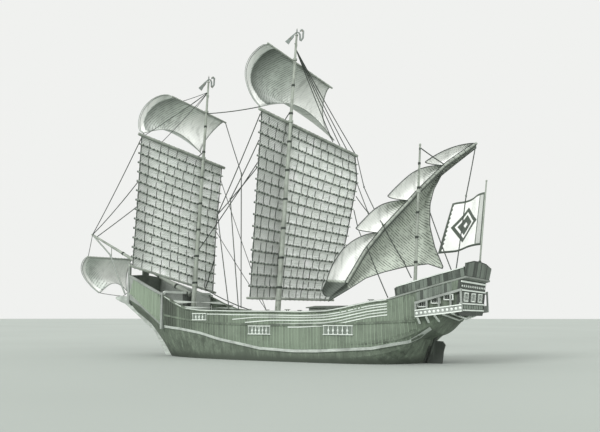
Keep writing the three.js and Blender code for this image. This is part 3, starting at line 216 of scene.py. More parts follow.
def poop_top(x):
    return POOP_DECK["z"] + POOP_DECK["slope"] * (POOP_DECK["x"] - x)


def transom_x(z):
    """The transom's outer face."""
    return -14.3 - 0.12 * (z - 3.62) - 0.2


def bowsprit_at(x):
    return Vector((x, 0, BOWSPRIT["z"] + BOWSPRIT["slope"] * (x - BOWSPRIT["x"])))


# Small sums
def lerp(a, b, f):
    return a + (b - a) * f


def along(rows, x):
    """The other columns of a table at x, straight between its rows."""
    rows = sorted(rows)
    k = 1
    while k < len(rows) - 1 and rows[k][0] < x:
        k += 1
    before, after = rows[k - 1], rows[k]
    f = min(max((x - before[0]) / (after[0] - before[0]), 0.0), 1.0)
    return [lerp(a, b, f) for a, b in zip(before[1:], after[1:])]


def steps(count):
    return [i / count for i in range(count + 1)]


def linear(code):
    """A #rrggbb screen colour as linear red, green and blue."""
    values = [int(code[i:i + 2], 16) / 255 for i in (1, 3, 5)]
    return tuple(v / 12.92 if v <= 0.04045 else ((v + 0.055) / 1.055) ** 2.4 for v in values)


def pointing(at, way):
    """A place with its Z along a way."""
    return Matrix.Translation(at) @ way.to_track_quat("Z", "Y").to_matrix().to_4x4()


def winding(radius, turns, sides=8):
    """Across, up and the turns made so far, for each point of a line wound round something."""
    return [(radius * math.cos(q * math.tau / sides), radius * math.sin(q * math.tau / sides), q / sides)
            for q in range(turns * sides + 1)]


# The frame's own lines
def node_rows(name):
    """Rows of x, lowest z, highest z for each cross section of a lofted node."""
    groups = {}
    for vertex in NODES[name].data.vertices:
        groups.setdefault(round(vertex.co.x, 2), []).append(vertex.co.z)
    return [(x, min(heights), max(heights)) for x, heights in sorted(groups.items())]


def surface_of(*names):
    """A tree that finds where a ray meets these nodes."""
    points, faces = [], []
    for name in names:
        first = len(points)
        points += [v.co.copy() for v in NODES[name].data.vertices]
        faces += [[first + i for i in p.vertices] for p in NODES[name].data.polygons]
    return BVHTree.FromPolygons(points, faces)


SIDE = surface_of("hull", "bulwark_port", "bow_wing_port", "cabin_side_port")
DECK = surface_of("hull")
WALE = node_rows("wale_lower_port")
RAIL = [(x, high) for x, _, high in node_rows("bulwark_port")]
WING_RAIL = [(x, high) for x, _, high in node_rows("bow_wing_port") if high > 5.1]
CABIN_TOP = [(x, high) for x, _, high in node_rows("cabin_side_port")]


def side_y(x, z):
    """Half breadth of the ship's side at x and z."""
    hit = SIDE.ray_cast(Vector((x, 12, z)), Vector((0, -1, 0)))[0]
    return hit.y if hit else 0.0


def deck_z(x, y):
    hit = DECK.ray_cast(Vector((x, y, 7)), Vector((0, 0, -1)))[0]
    return hit.z if hit else 3.0


def rail_z(x):
    return along(RAIL, x)[0]


def rail_y(x):
    """Half breadth where a cleat stands on the rail."""
    return side_y(x, rail_z(x) - 0.3) - 0.06


def wale_top(x):
    return along(WALE, x)[1] + 0.01


def top_of_side(x):
    """Height of the boards' top edge: under the rail, or under the poop deck."""
    if x < CABIN_TOP[-1][0]:
        return along(CABIN_TOP, x)[0] - 0.05
    return rail_z(x) - 0.19


# Finishes
class Finish:
    """A material built up node by node."""

    def __init__(self, name, roughness=0.8, metallic=0.0, sheen=0.0):
        self.material = bpy.data.materials.new(name)
        self.material.use_nodes = True
        self.tree = self.material.node_tree
        self.shader = self.tree.nodes["Principled BSDF"]
        for socket, value in (("Roughness", roughness), ("Metallic", metallic), ("Sheen Weight", sheen)):
            self.shader.inputs[socket].default_value = value

    def node(self, kind, inputs=None, **settings):
        made = self.tree.nodes.new(kind)
        for key, value in settings.items():
            setattr(made, key, value)
        for key, value in (inputs or {}).items():
            if isinstance(value, bpy.types.NodeSocket):
                self.tree.links.new(value, made.inputs[key])
            else:
                made.inputs[key].default_value = value
        return made

    def at(self, source="Object", scale=(1, 1, 1)):
        place = self.node("ShaderNodeTexCoord").outputs[source]
        return self.node("ShaderNodeMapping", {"Vector": place, "Scale": scale}).outputs["Vector"]

    def vector(self, operation, inputs):
        return self.node("ShaderNodeVectorMath", inputs, operation=operation).outputs

    def grain(self, direction, across=26.0, lengthwise=1.1):
        """Object coordinates drawn out along a direction."""
        place = self.node("ShaderNodeTexCoord").outputs["Object"]
        way = Vector(direction).normalized()
        reach = self.vector("DOT_PRODUCT", {0: place, 1: way})["Value"]
        shrink = self.vector("SCALE", {0: way * (across - lengthwise), "Scale": reach})["Vector"]
        fine = self.vector("SCALE", {0: place, "Scale": across})["Vector"]
        return self.vector("SUBTRACT", {0: fine, 1: shrink})["Vector"]

    def noise(self, vector, scale=1.0, detail=4.0, roughness=0.6):
        return self.node("ShaderNodeTexNoise", {"Vector": vector, "Scale": scale, "Detail": detail,
                                                "Roughness": roughness}).outputs["Fac"]

    def cloud(self, size, scale, detail=5.0):
        """Noise in object space."""
        return self.noise(self.at(scale=(size, size, size)), scale, detail)

    def attribute(self, name):
        return self.node("ShaderNodeAttribute", attribute_name=name).outputs["Fac"]

    def split(self, vector):
        return self.node("ShaderNodeSeparateXYZ", {"Vector": vector}).outputs

    def uv(self):
        place = self.split(self.at("UV"))
        return place["X"], place["Y"]

    def calc(self, operation, a, b=0.0):
        return self.node("ShaderNodeMath", {0: a, 1: b}, operation=operation).outputs["Value"]

    def times(self, a, b):
        return self.calc("MULTIPLY", a, b)

    def plus(self, a, b):
        return self.calc("ADD", a, b)

    def wave(self, value, pitch):
        return self.calc("SINE", self.times(value, pitch))

    def weave(self, u, v, pitch):
        return self.times(self.wave(u, pitch), self.wave(v, pitch))

    def off(self, value, middle):
        """How far a value is from the middle."""
        return self.calc("ABSOLUTE", self.calc("SUBTRACT", value, middle))

    def stripes(self, value, pitch):
        """0 between two lines and 0.5 on a line."""
        return self.off(self.calc("FRACT", self.calc("DIVIDE", value, pitch)), 0.5)

    def slanting(self, u, v, slope, pitch, wander):
        """Stripes that slant over the cloth and wander."""
        slant = self.calc("DIVIDE", self.plus(u, self.times(v, slope)), pitch)
        return self.off(self.calc("FRACT", self.plus(slant, wander)), 0.5)

    def band(self, value, low, high):
        """0 below low, 1 above high, smooth between."""
        return self.node("ShaderNodeMapRange", {"Value": value, "From Min": low, "From Max": high},
                         interpolation_type="SMOOTHSTEP").outputs["Result"]

    def ramp(self, factor, *stops):
        made = self.node("ShaderNodeValToRGB", {"Fac": factor})
        ends = made.color_ramp.elements
        for i, (place, colour) in enumerate(stops):
            stop = ends[i] if i < 2 else ends.new(place)
            stop.position, stop.color = place, (*colour, 1.0)
        return made.outputs["Color"]

    def mix(self, factor, a, b, blend="MIX"):
        a, b = [c if isinstance(c, bpy.types.NodeSocket) else (*c, 1.0) for c in (a, b)]
        return self.node("ShaderNodeMix", {0: factor, 6: a, 7: b}, data_type="RGBA",
                         blend_type=blend).outputs[2]

    def done(self, colour, height=None, strength=0.4, distance=0.02):
        self.tree.links.new(colour, self.shader.inputs["Base Color"])
        if height is not None:
            bump = self.node("ShaderNodeBump",
                             {"Height": height, "Strength": strength, "Distance": distance})
            self.tree.links.new(bump.outputs["Normal"], self.shader.inputs["Normal"])
        return self.material


def shade(colour, factor):
    return tuple(min(c * factor, 1.0) for c in colour)


def timber(name, colour, direction=FORWARD, tinted=False, roughness=0.75, streaks=0.0, contrast=0.35,
           spread=0.55):
    """Wood with its grain along a direction, checks, stains, and a tint of its own for each plank."""
    look = Finish(name, roughness)
    grain = look.noise(look.grain(direction), 1.0, 6.0)
    wood = look.ramp(grain, (0.3, shade(colour, 1 - contrast)), (0.68, shade(colour, 1 + contrast)))
    wood = look.mix(look.band(look.cloud(0.5, 1.6), 0.42, 0.7), wood, shade(colour, 0.62))
    layers = []
    if tinted:
        tint = look.attribute("tint")
        layers += [(tint, 0.0, 1.0, spread, 2.2), (tint, 0.35, 0.0, spread, 0.35)]
    if streaks:
        runs = look.noise(look.at(scale=(3.4, 3.4, 0.16)), 1.0, 5.0)
        layers += [(runs, 0.5, 0.66, streaks, 0.3), (runs, 0.46, 0.3, streaks, 2.2)]
    for value, low, high, amount, factor in layers:
        wood = look.mix(look.band(value, low, high), wood, look.mix(amount, wood, shade(colour, factor)))
    # darker towards the bottom, below z 0.75
    if streaks:
        wood = look.mix(look.band(look.split(look.at())["Z"], 0.75, 0.1), wood, shade(colour, 0.42))
    return look.done(wood, grain, 0.35, 0.012)


def woven_mat(name, colour):
    """Reed matting: strips woven over and under, sewn in panels, weathered from mat to mat."""
    look = Finish(name, 0.9, sheen=0.15)
    u, v = look.uv()
    weave = look.weave(u, v, 70.0)
    cell = look.node("ShaderNodeCombineXYZ", {axis: look.calc("FLOOR", look.calc("DIVIDE", value, size))
                                              for axis, value, size in (("X", u, 1.15), ("Y", v, 0.96))})
    mat_tint = look.node("ShaderNodeTexWhiteNoise", {"Vector": cell.outputs["Vector"]}).outputs["Value"]
    fray = look.noise(look.at("UV", (1.1, 9.0, 1.0)), 1.0, 6.0, 0.7)
    blotch = look.noise(look.at("UV", (0.45, 0.45, 1.0)))
    reed = look.ramp(fray, (0.34, shade(colour, 0.5)), (0.46, colour), (0.7, shade(colour, 1.4)))
    reed = look.mix(look.band(mat_tint, 0.2, 1.0), look.mix(0.3, reed, shade(colour, 0.7)), reed)
    reed = look.mix(look.band(blotch, 0.52, 0.72), reed, shade(colour, 1.5))
    place = look.slanting(u, v, 1.1, 0.24, look.times(blotch, 3.0))
    # the depth attribute paints shade on the mats, and the slanting hatch lines darken with it
    shadow = look.attribute("depth")
    lines = look.times(look.band(place, 0.22, 0.4), look.plus(look.times(shadow, 0.5), 0.16))
    # painted shade in the gaps between the woven strips
    gap_shade = look.times(look.band(weave, 0.1, -0.6), 0.22)
    for amount, factor in ((look.times(shadow, 0.45), 0.35), (lines, 0.25), (gap_shade, 0.4)):
        reed = look.mix(amount, reed, shade(colour, factor))
    return look.done(reed, look.plus(weave, look.times(fray, 3.0)), 0.5, 0.012)


def sailcloth(name, colour, pale, dark, slope, pitch, lines):
    """Canvas in narrow slanting cloths: weave, seams, creases and stains. Its depth attribute paints light
    and
    shade: 0 where the cloth is painted pale as lit, over 1 where it has its colour, to 2 where it is painted
    dark as shade."""
    look = Finish(name, 0.88, sheen=0.15)
    u, v = look.uv()
    weave = look.weave(u, v, 160.0)
    wander = look.noise(look.at("UV", (0.7, 0.7, 1.0)), 1.0, 3.0)
    place = look.slanting(u, v, slope, pitch, look.times(wander, 1.2))
    broken = look.noise(look.at("UV", (2.6, 2.6, 1.0)), 1.0, 4.0, 0.7)
    stitch = look.times(look.band(place, 0.26, 0.42), look.band(broken, 0.36, 0.56))
    soil = look.noise(look.at("UV", (0.5, 0.3, 1.0)), 1.5, 6.0)
    crease = look.noise(look.at("UV", (2.2, 0.5, 1.0)), 1.2, 5.0)
    depth = look.attribute("depth")
    base = look.mix(look.band(depth, 0.0, 1.0), pale, colour)
    base = look.mix(look.band(depth, 1.0, 2.0), base, dark)
    tone = look.ramp(soil, (0.3, (0.8, 0.8, 0.8)), (0.7, (1.0, 1.0, 1.0)))
    cloth = look.mix(1.0, base, tone, "MULTIPLY")
    # creases darkened in colour: painted shade in the folds
    cloth = look.mix(look.times(look.band(crease, 0.5, 0.68), 0.3), cloth, shade(dark, 0.9))
    # seam lines drawn dark: faint everywhere, and stronger as hatching where the depth paints shade
    drawn = look.times(stitch, look.plus(look.times(look.band(depth, 0.0, 0.8), lines), lines * 0.12))
    cloth = look.mix(drawn, cloth, shade(dark, 0.45))
    height = look.plus(look.times(weave, 0.05), stitch)
    return look.done(cloth, look.plus(height, look.times(crease, 4.0)), 0.4, 0.01)


def cordage(name, colour):
    """Laid rope: the strands twist along the line's own length."""
    look = Finish(name, 0.92)
    u, v = look.uv()
    strand = look.calc("SINE", look.plus(look.times(u, 55.0), look.times(v, 3 * math.tau)))
    hemp = look.ramp(look.cloud(9, 3.0), (0.3, shade(colour, 0.6)), (0.7, shade(colour, 1.35)))
    # darker in the grooves between the strands: painted shade
    hemp = look.mix(look.band(strand, 0.1, -0.8), hemp, shade(colour, 0.4))
    return look.done(hemp, strand, 0.7, 0.01)


def bamboo(name, colour):
    """Bamboo poles with a ring at each joint, by the pole's own length."""
    look = Finish(name, 0.5)
    ring = look.band(look.stripes(look.uv()[0], 0.42), 0.46, 0.49)
    cane = look.ramp(look.cloud(2, 2.0), (0.3, shade(colour, 0.7)), (0.7, shade(colour, 1.4)))
    cane = look.mix(ring, cane, shade(colour, 0.35))
    return look.done(cane, ring, 0.5, 0.012)


def iron(name, colour):
    """Wrought iron with hammer marks and rust."""
    look = Finish(name, 0.55, metallic=0.8)
    marks = look.cloud(14, 1.0, 4.0)
    metal = look.ramp(marks, (0.3, shade(colour, 0.7)), (0.7, shade(colour, 1.5)))
    metal = look.mix(look.band(look.cloud(2.5, 2.0, 6.0), 0.55, 0.68), metal, linear("#5d4b3c"))
    return look.done(metal, marks, 0.4, 0.01)


def flag_cloth(name, colour, ink):
    """Pale flag cloth with a dark edge and a plain lozenge ring drawn by the flag's own UV map."""
    look = Finish(name, 0.85, sheen=0.2)
    u, v = look.uv()
    from_middle = [look.off(c, 0.5) for c in (u, v)]
    hem = look.band(look.calc("MAXIMUM", *from_middle), 0.455, 0.462)
    fly = look.band(look.plus(u, look.times(look.wave(v, 75.0), 0.014)), 0.915, 0.925)
    heading = look.band(look.off(u, 0.14), 0.012, 0.006)
    edge = look.calc("MAXIMUM", look.calc("MAXIMUM", hem, fly), heading)
    hoist = look.times(look.band(u, 0.14, 0.13), 0.45)
    lozenge = look.plus(*from_middle)
    ring, core = [look.times(look.band(lozenge, *inner), look.band(lozenge, *outer)) for inner, outer in
                  (((0.25, 0.26), (0.35, 0.34)), ((0.205, 0.195), (0.05, 0.06)))]
    soil = look.noise(look.at("UV", (3, 3, 1)), 1.5, 5.0)
    cloth = look.ramp(soil, (0.3, shade(colour, 0.85)), (0.7, colour))
    for mark in (hoist, edge, ring, core):
        cloth = look.mix(mark, cloth, ink)
    return look.done(cloth, look.weave(u, v, 600.0), 0.2, 0.005)


def floor_finish(name, colour):
    look = Finish(name, 0.95)
    return look.done(look.ramp(look.cloud(0.02, 1.0, 3.0), (0.3, shade(colour, 0.92)), (0.7, colour)))


# Sizes and colours a user would change
def length(name, description, default):
    return FloatProperty(name=name, description=description, default=default, min=0.0, unit="LENGTH")


def strength(name, description, default):
    return FloatProperty(name=name, description=description, default=default, min=0.0)


def swatch(name, description, code):
    return FloatVectorProperty(name=name, description=description, default=linear(code), subtype="COLOR",
                               size=3, min=0.0, max=1.0)


class ShipSizes(PropertyGroup):
    board: length("Hull board", "Width of an upright board on the ship's side", 0.26)
    board_gap: length("Board gap", "Space between two upright boards", 0.03)
    seam_strip: length("Seam strip", "Width of the strip over each seam between boards", 0.055)
    board_thick: length("Board thickness", "How far the upright boards stand off the hull", 0.03)
    deck_plank: length("Deck plank", "Width of a deck plank", 0.3)
    batten: length("Batten radius", "Radius of a bamboo batten on the lugsails", 0.05)
    tie_spacing: length("Tie spacing", "Space between the ties along a batten", 0.36)
    bolt_rope: length("Bolt rope radius", "Radius of the rope sewn round a sail", 0.045)
    running: length("Running rope radius", "Radius of the sheets, stays and vangs", 0.042)
    light_line: length("Light line radius", "Radius of the lighter lifts and sheets", 0.03)


class ShipColours(PropertyGroup):
    hull: swatch("Hull", "The upright boards of the side", "#606b5d")
    dark: swatch("Dark timber", "Timbers left dark and tarred", "#5a625a")
    pale: swatch("Pale timber", "Wales, rails, frames and the gallery", "#aeb5ae")
    deck: swatch("Deck", "Deck planks and the deckhouse", "#98a097")
    spar: swatch("Spars", "Masts and yards", "#949b91")
    bamboo: swatch("Bamboo", "The battens of the lugsails", "#9aa399")
    mat: swatch("Matting", "Woven reed mats of the lugsails", "#e6ece5")
    # topsail: the square sails' cloth colour, between the painted pale and the painted shade of their depth
    topsail: swatch("Dark cloth", "Topsails and spritsail", "#d6ddd6")
    # lateen: the lateen's cloth under its yard, painted darker than the same cloth above it as shade
    lateen: swatch("Lateen cloth", "The lateen below its yard", "#b6bfb2")
    pale_cloth: swatch("Pale cloth", "The lateen above its yard, and the flag", "#f2f4f0")
    ink: swatch("Flag pattern", "The dark edge and lozenge of the flag", "#4c554c")
    rope: swatch("Rope", "Running rigging and lashings", "#4d544e")
    iron: swatch("Iron", "The masthead vanes", "#646b67")


class ShipStage(PropertyGroup):
    sun: strength("Key light", "Strength of the soft key light", 2.2)
    fill: strength("Fill light", "Strength of the low fill light", 1.7)
    sky: strength("Sky", "Strength of the pale sky", 1.0)
    floor: swatch("Floor", "The pale floor at the waterline", "#a9b0aa")
    paper: swatch("Sky colour", "The pale sky", "#f0f1ef")
    seed: IntProperty(name="Seed", description="Start of the random tints and wrinkles", default=7, min=0)


# Each finish: its maker, the colours that it takes, and its settings
FINISHES = {
    "hull_timber": (timber, "hull", dict(direction=UP, streaks=0.4)),
    "hull_boards": (timber, "hull", dict(direction=UP, tinted=True, streaks=0.15, contrast=0.2, spread=0.9)),
    "dark_timber": (timber, "dark", {}),
    "dark_boards": (timber, "dark", dict(direction=UP, tinted=True, streaks=0.3, spread=0.8)),
    "wale_timber": (timber, "pale", dict(contrast=0.3)),
    "pale_timber": (timber, "pale", dict(tinted=True, contrast=0.3)),
    "pale_upright": (timber, "pale", dict(direction=UP, tinted=True, contrast=0.3)),
    "deck_planks": (timber, "deck", dict(tinted=True, contrast=0.25)),
    "cross_planks": (timber, "deck", dict(direction=ACROSS, tinted=True, contrast=0.25)),
    "spar_timber": (timber, "spar", dict(direction=UP, contrast=0.3, roughness=0.6)),
    "cross_spar": (timber, "spar", dict(direction=(0.34, 0.94, 0), contrast=0.3, roughness=0.6)),
    "bamboo": (bamboo, "bamboo", {}),
    "reed_matting": (woven_mat, "mat", {}),
    # the sails take the dark timber colour for their painted shade
    "dark_canvas": (sailcloth, "topsail pale_cloth dark", dict(slope=1.0, pitch=0.26, lines=0.6)),
    "lateen_canvas": (sailcloth, "lateen pale_cloth dark", dict(slope=-1.3, pitch=0.28, lines=0.8)),
    "flag_weave": (flag_cloth, "pale_cloth ink", {}),
    "rope": (cordage, "rope", {}),
    "pale_rope": (cordage, "pale", {}),
    "forged_iron": (iron, "iron", {}),
}


def finish(name):
    """The named material, made the first time it is asked for."""
    made = bpy.data.materials.get(name)
    if not made:
        maker, colours, settings = FINISHES[name]
        group = bpy.context.scene.ship_colours
        made = maker(name, *[getattr(group, each) for each in colours.split()], **settings)
    return made


# Mesh building
class Build:
    """One mesh in the making: a tint for each board, a depth for painted light and shade, and a UV map
    in metres.
    """

    def __init__(self):
        self.bm = bmesh.new()
        self.tint = self.bm.verts.layers.float.new("tint")
        self.depth = self.bm.verts.layers.float.new("depth")
        self.uv = self.bm.loops.layers.uv.new("UVMap")

    def colour(self, verts, tint):
        for vertex in verts:
            vertex[self.tint] = tint

    def box(self, centre, size, turn=Matrix(), tint=0.5):
        matrix = Matrix.Translation(centre) @ turn.to_4x4() @ Matrix.Diagonal((*size, 1))
        self.colour(bmesh.ops.create_cube(self.bm, size=1.0, matrix=matrix)["verts"], tint)

    def beam(self, a, b, width, thick, up=UP, tint=0.5):
        """A squared timber from a to b, thick along up and width across it."""
        a, b = Vector(a), Vector(b)
        way = (b - a).normalized()
        across = way.cross(Vector(up)).normalized()
        turn = Matrix((way, -across, way.cross(across) * -1)).transposed()
        self.box((a + b) / 2, ((b - a).length, width, thick), turn, tint)

    def chain(self, points, width, thick, up=UP, tint=0.5):
        """Squared timbers end to end."""
        for a, b in zip(points, points[1:]):
            self.beam(a, b, width, thick, up, tint)

    def rod(self, a, b, radius, end_radius=None, tint=0.5):
        a, b = Vector(a), Vector(b)
        made = bmesh.ops.create_cone(self.bm, cap_ends=True, segments=6, radius1=radius,
                                     radius2=radius if end_radius is None else end_radius,
                                     depth=(b - a).length, calc_uvs=True,
                                     matrix=pointing((a + b) / 2, b - a))
        self.colour(made["verts"], tint)
        # UVs run along the rod in metres
        way = (b - a).normalized()
        for face in {f for v in made["verts"] for f in v.link_faces}:
            for loop in face.loops:
                loop[self.uv].uv = ((loop.vert.co - a).dot(way), loop.index % 2 / 2)

    def grid(self, nu, nv, point, uv=lambda u, v: (u, v), tint=0.5, depth=lambda u, v: 0.0):
        """A sheet of nu by nv faces that point(u, v) places."""
        verts = bmesh.ops.create_grid(self.bm, x_segments=nu, y_segments=nv, size=0.5)["verts"]
        spots = {v: (v.co.x + 0.5, v.co.y + 0.5) for v in verts}
        faces = {f for v in verts for f in v.link_faces}
        for face in faces:
            for loop in face.loops:
                loop[self.uv].uv = uv(*spots[loop.vert])
        for vertex, (u, v) in spots.items():
            vertex.co = point(u, v)
            vertex[self.depth] = depth(u, v)
        self.colour(verts, tint)
        return faces

    def slab(self, nu, nv, point, thick, **settings):
        """A grid given a body: thick is the vector from its face to its back."""
        faces = self.grid(nu, nv, point, **settings)
        for made in bmesh.ops.extrude_face_region(self.bm, geom=list(faces))["geom"]:
            if isinstance(made, bmesh.types.BMVert):
                made.co += Vector(thick)

    def add(self, mesh, matrix, tint=0.5):
        """A copy of a ready mesh."""
        first = len(self.bm.verts)
        self.bm.from_mesh(mesh)
        self.bm.verts.ensure_lookup_table()
        for vertex in self.bm.verts[first:]:
            vertex.co = matrix @ vertex.co
            vertex[self.tint] = tint

    def piece(self, name, material, body="ship", slot=None, bevel=0.0, smooth=False, closed=True):
        """The finished object, riding on its body."""
        if closed:
            bmesh.ops.recalc_face_normals(self.bm, faces=self.bm.faces[:])
        return placed(name, as_mesh(name, self.bm), material, body, bevel, smooth)


def as_mesh(name, bm):
    mesh = bpy.data.meshes.new(name)
    bm.to_mesh(mesh)
    bm.free()
    return mesh


def placed(name, mesh, material, body="ship", bevel=0.0, smooth=False):
    mesh.materials.clear()
    mesh.materials.append(finish(material))
    piece = bpy.data.objects.new(name, mesh)
    bpy.context.scene.collection.objects.link(piece)
    if smooth:
        mesh.shade_smooth()
    if bevel:
        edge = piece.modifiers.new("bevel", "BEVEL")
        edge.width, edge.segments, edge.limit_method = bevel, 1, "ANGLE"
    if body:
        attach(piece, body)
    return piece


def turned(profile, sides=8):
    """A small turned piece along Z: rows of height and radius."""
    bm = bmesh.new()
    verts = [bm.verts.new((radius, 0, z)) for z, radius in profile]
    edges = [bm.edges.new(pair) for pair in zip(verts, verts[1:])]
    bmesh.ops.spin(bm, geom=verts + edges, axis=UP, cent=(0, 0, 0), angle=math.tau, steps=sides,
                   use_merge=True)
    bmesh.ops.remove_doubles(bm, verts=bm.verts[:], dist=0.0001)
    bmesh.ops.holes_fill(bm, edges=bm.edges[:], sides=0)
    bmesh.ops.recalc_face_normals(bm, faces=bm.faces[:])
    return as_mesh("turned", bm)


def tubes(name, lines, radius, sides):
    """Ropes laid through their points, as one mesh with UVs in metres along each rope."""
    curve = bpy.data.curves.new(name, "CURVE")
    curve.dimensions, curve.bevel_depth, curve.use_fill_caps = "3D", radius, True
    curve.bevel_resolution = (sides - 4) // 2
    for line in lines:
        spline = curve.splines.new("POLY")
        spline.points.add(len(line) - 1)
        for spot, co in zip(spline.points, line):
            spot.co = (*co, 1)
    carrier = bpy.data.objects.new(name, curve)
    mesh = bpy.data.meshes.new_from_object(carrier)
    bpy.data.objects.remove(carrier)
    bpy.data.curves.remove(curve)
    uv = mesh.uv_layers[0]
    uv.name = "UVMap"
    ring = len(mesh.vertices) // sum(len(line) for line in lines)
    reached = []
    for line in lines:
        far = 0.0
        for i, spot in enumerate(line):
            far += (Vector(spot) - Vector(line[i - 1])).length if i else 0.0
            reached += [far] * ring
    for loop in mesh.loops:
        uv.data[loop.index].uv.x = reached[loop.vertex_index] if loop.vertex_index < len(reached) else 0
    return mesh


def laid(name, lines, radius, material="rope", body="ship", sides=6):
    """A piece made of ropes or poles."""
    return placed(name, tubes(name, lines, radius, sides), material, body, smooth=True)


def hung(a, b, sag, count):
    """Points from a to b, dropping by sag in the middle."""
    return [a.lerp(b, f) - Vector((0, 0, sag * 4 * f * (1 - f))) for f in steps(count)]


def coil(centre, radius, turns, thick, sides=14):
    """Points of a rope coiled flat."""
    return [Vector(centre) + Vector(((radius - 0.18 * thick * i / sides) * math.cos(i * math.tau / sides),
                                     (radius - 0.18 * thick * i / sides) * math.sin(i * math.tau / sides),
                                     thick + 0.6 * thick * i / sides)) for i in range(turns * sides + 1)]


# The sails' own surfaces, and where a spot on them is in the world
def sail_at(kind, s, w, t):
    return SAIL_FRAMES[kind] @ Vector((s, w, t))


def on_sail(kind, spot, ahead=0.0, up=0.0):
    """The place of a spot on a sail, moved off it."""
    return sail_at(kind, spot.x, spot.y + ahead, spot.z + up)


def lee_of(kind):
    return SAIL_FRAMES[kind].to_3x3() @ Vector((0, -1, 0))


def lug_edge(rows, v):
    t = lerp(rows[0][1], rows[-1][1], v)
    return Vector((along([(h, s) for s, h in rows], t)[0], t))


def lug_spot(sail, u, v):
    """s, w and t on a lugsail: u from the port edge, v from the boom."""
    p, q = lug_edge(sail["port"], v), lug_edge(sail["starboard"], v)
    over, up = [math.sin(math.pi * min(max(f, 0), 1)) for f in (u, v)]
    return Vector((lerp(p.x, q.x, u), -sail["lee"] - sail["belly"] * over * up ** 0.7, lerp(p.y, q.y, u)))


def lug_width(sail, v):
    return (lug_spot(sail, 1, v) - lug_spot(sail, 0, v)).length


def square_spot(sail, u, v):
    """s, w and t on a square sail: u from the port edge, v from the foot."""
    (y0, y1), (c0, c1) = sail["yard"], sail["clews"]
    port, middle, starboard = sail["depth"]
    near_port, swell = (1 - u) ** 2, max(math.sin(math.pi * v), 0)
    depth = near_port * port + (1 - u) * u * (4 * middle - port - starboard) + u * u * starboard
    arch = sail["arch"] * math.sin(math.pi * u) * (1 - v) ** 2
    lift = sail["lift"] * near_port * max(math.sin(math.pi * v ** sail["skew"]), 0) ** 0.5
    return Vector((lerp(lerp(c0[0], c1[0], u), lerp(y0[0], y1[0], u), v) + sail["bow"] * near_port * swell,
                   -lerp(sail["lee_foot"], sail["lee"], v) - depth * swell ** 0.6,
                   lerp(lerp(c0[1], c1[1], u), lerp(y0[1], y1[1], u), v) + arch + lift))


def lateen_row(v):
    """The fraction up the yard of a row of the cloth: rows crowd together where two lobes meet."""
    lobes = LATEEN["lobes"]
    k = min(int(v * len(lobes)), len(lobes) - 1)
    return lerp(lobes[k][0], lobes[k][1], 0.5 - 0.5 * math.cos(math.pi * (v * len(lobes) - k)))


def lobe_at(v):
    """The number of the lobe at a fraction up the yard, and how far up that lobe it is."""
    k = sum(v >= lobe[0] for lobe in LATEEN["lobes"]) - 1
    first, last = LATEEN["lobes"][k][:2]
    return k, (v - first) / (last - first)


def lateen_spot(f, v):
    """s, w and t on the lateen: f from -1 at the lobes over 0 at the yard to 1 at the free edge."""
    yard = Vector(along(LATEEN["yard"], v))
    k, at = lobe_at(v)
    opening, roundness, most = LATEEN["lobes"][k][2:]
    at = min(at, 1.0)
    reach = most * math.sqrt(1 - (1 - min(at / opening, 1)) ** 2) * math.sqrt(1 - at ** roundness)
    reach = max(reach, LATEEN["seam"])
    end = yard + Vector((reach, 0)) if f < 0 else Vector(along(LATEEN["edge"], v))
    spot = yard.lerp(end, abs(f))
    belly = (0.3 * reach if f < 0 else 0.9 * math.sin(math.pi * v)) * math.sin(math.pi * abs(f))
    return Vector((spot.x, -LATEEN["lee"] - 0.1 - belly, spot.y))


def lateen_yard(v):
    """A spot on the lateen's yard, and the way that the yard leads there."""
    here, ahead = [Vector(along(LATEEN["yard"], at)) for at in (v, v + 0.01)]
    return here, (ahead - here).normalized()


def pole_x(z):
    return FLAG_POLE["x"] - FLAG_POLE["rake"] * (z - FLAG_POLE["z"])


def flag_spot(u, v):
    hoist, droop = lerp(*FLAG["hoist"], v), min(max((u - 0.05) / 0.65, 0), 1)
    reach, fly = [lerp(FLAG["fly"][0][k], FLAG["fly"][1][k], v) for k in (0, 1)]
    wave = FLAG["wave"] * math.sin(2 * math.pi * 1.25 * u + v) * min(u * 3, 1)
    turn = math.radians(FLAG["angle"])
    return Vector((pole_x(hoist), 0, 0)) + Vector((
        reach * u * math.cos(turn) - wave * math.sin(turn),
        reach * u * math.sin(turn) + wave * math.cos(turn),
        lerp(hoist, fly, lerp(u, droop * droop * (3 - 2 * droop), 0.7))))


def mast_at(kind, z):
    return Vector((MASTS[kind]["x"] - MASTS[kind]["rake"] * z, 0, z))


def mast_radius(kind, z):
    mast = MASTS[kind]
    return lerp(mast["r_foot"], mast["r_truck"], (z - MAST_FOOT) / (mast["truck"] - MAST_FOOT))


# Rigging
BRIDLE = Vector((5.9, 2.4, 11.75))
# The bends of the mainsail's sheets on their way aft
SHEETS = {
    "yard": [Vector((-3.33, -6.89, 14.78)), Vector((-8.42, 1.31, 10.07)), Vector((-8.97, 1.0, 8.83)),
             Vector((-9.75, 0.55, 7.23))],
    "upper": [Vector((-4.0, -6.2, 12.3)), Vector((-8.6, 1.2, 9.7))],
    "lower": [Vector((-2.14, -8.09, 11.3)), Vector((-7.4, 1.9, 8.36))],
}
SHEET_FOOT = Vector((-10.2, 0.3, 6.1))  # on the mizzen mast
BOBSTAY = [bowsprit_at(22.7) - Vector((0, 0, 0.05)), Vector((20.14, 0.24, 9.2)), Vector((18.15, 0.12, 5.45))]
HEAD_BLOCKS = (("main", 25.8), ("fore", 23.5), ("mizzen", 15.8))


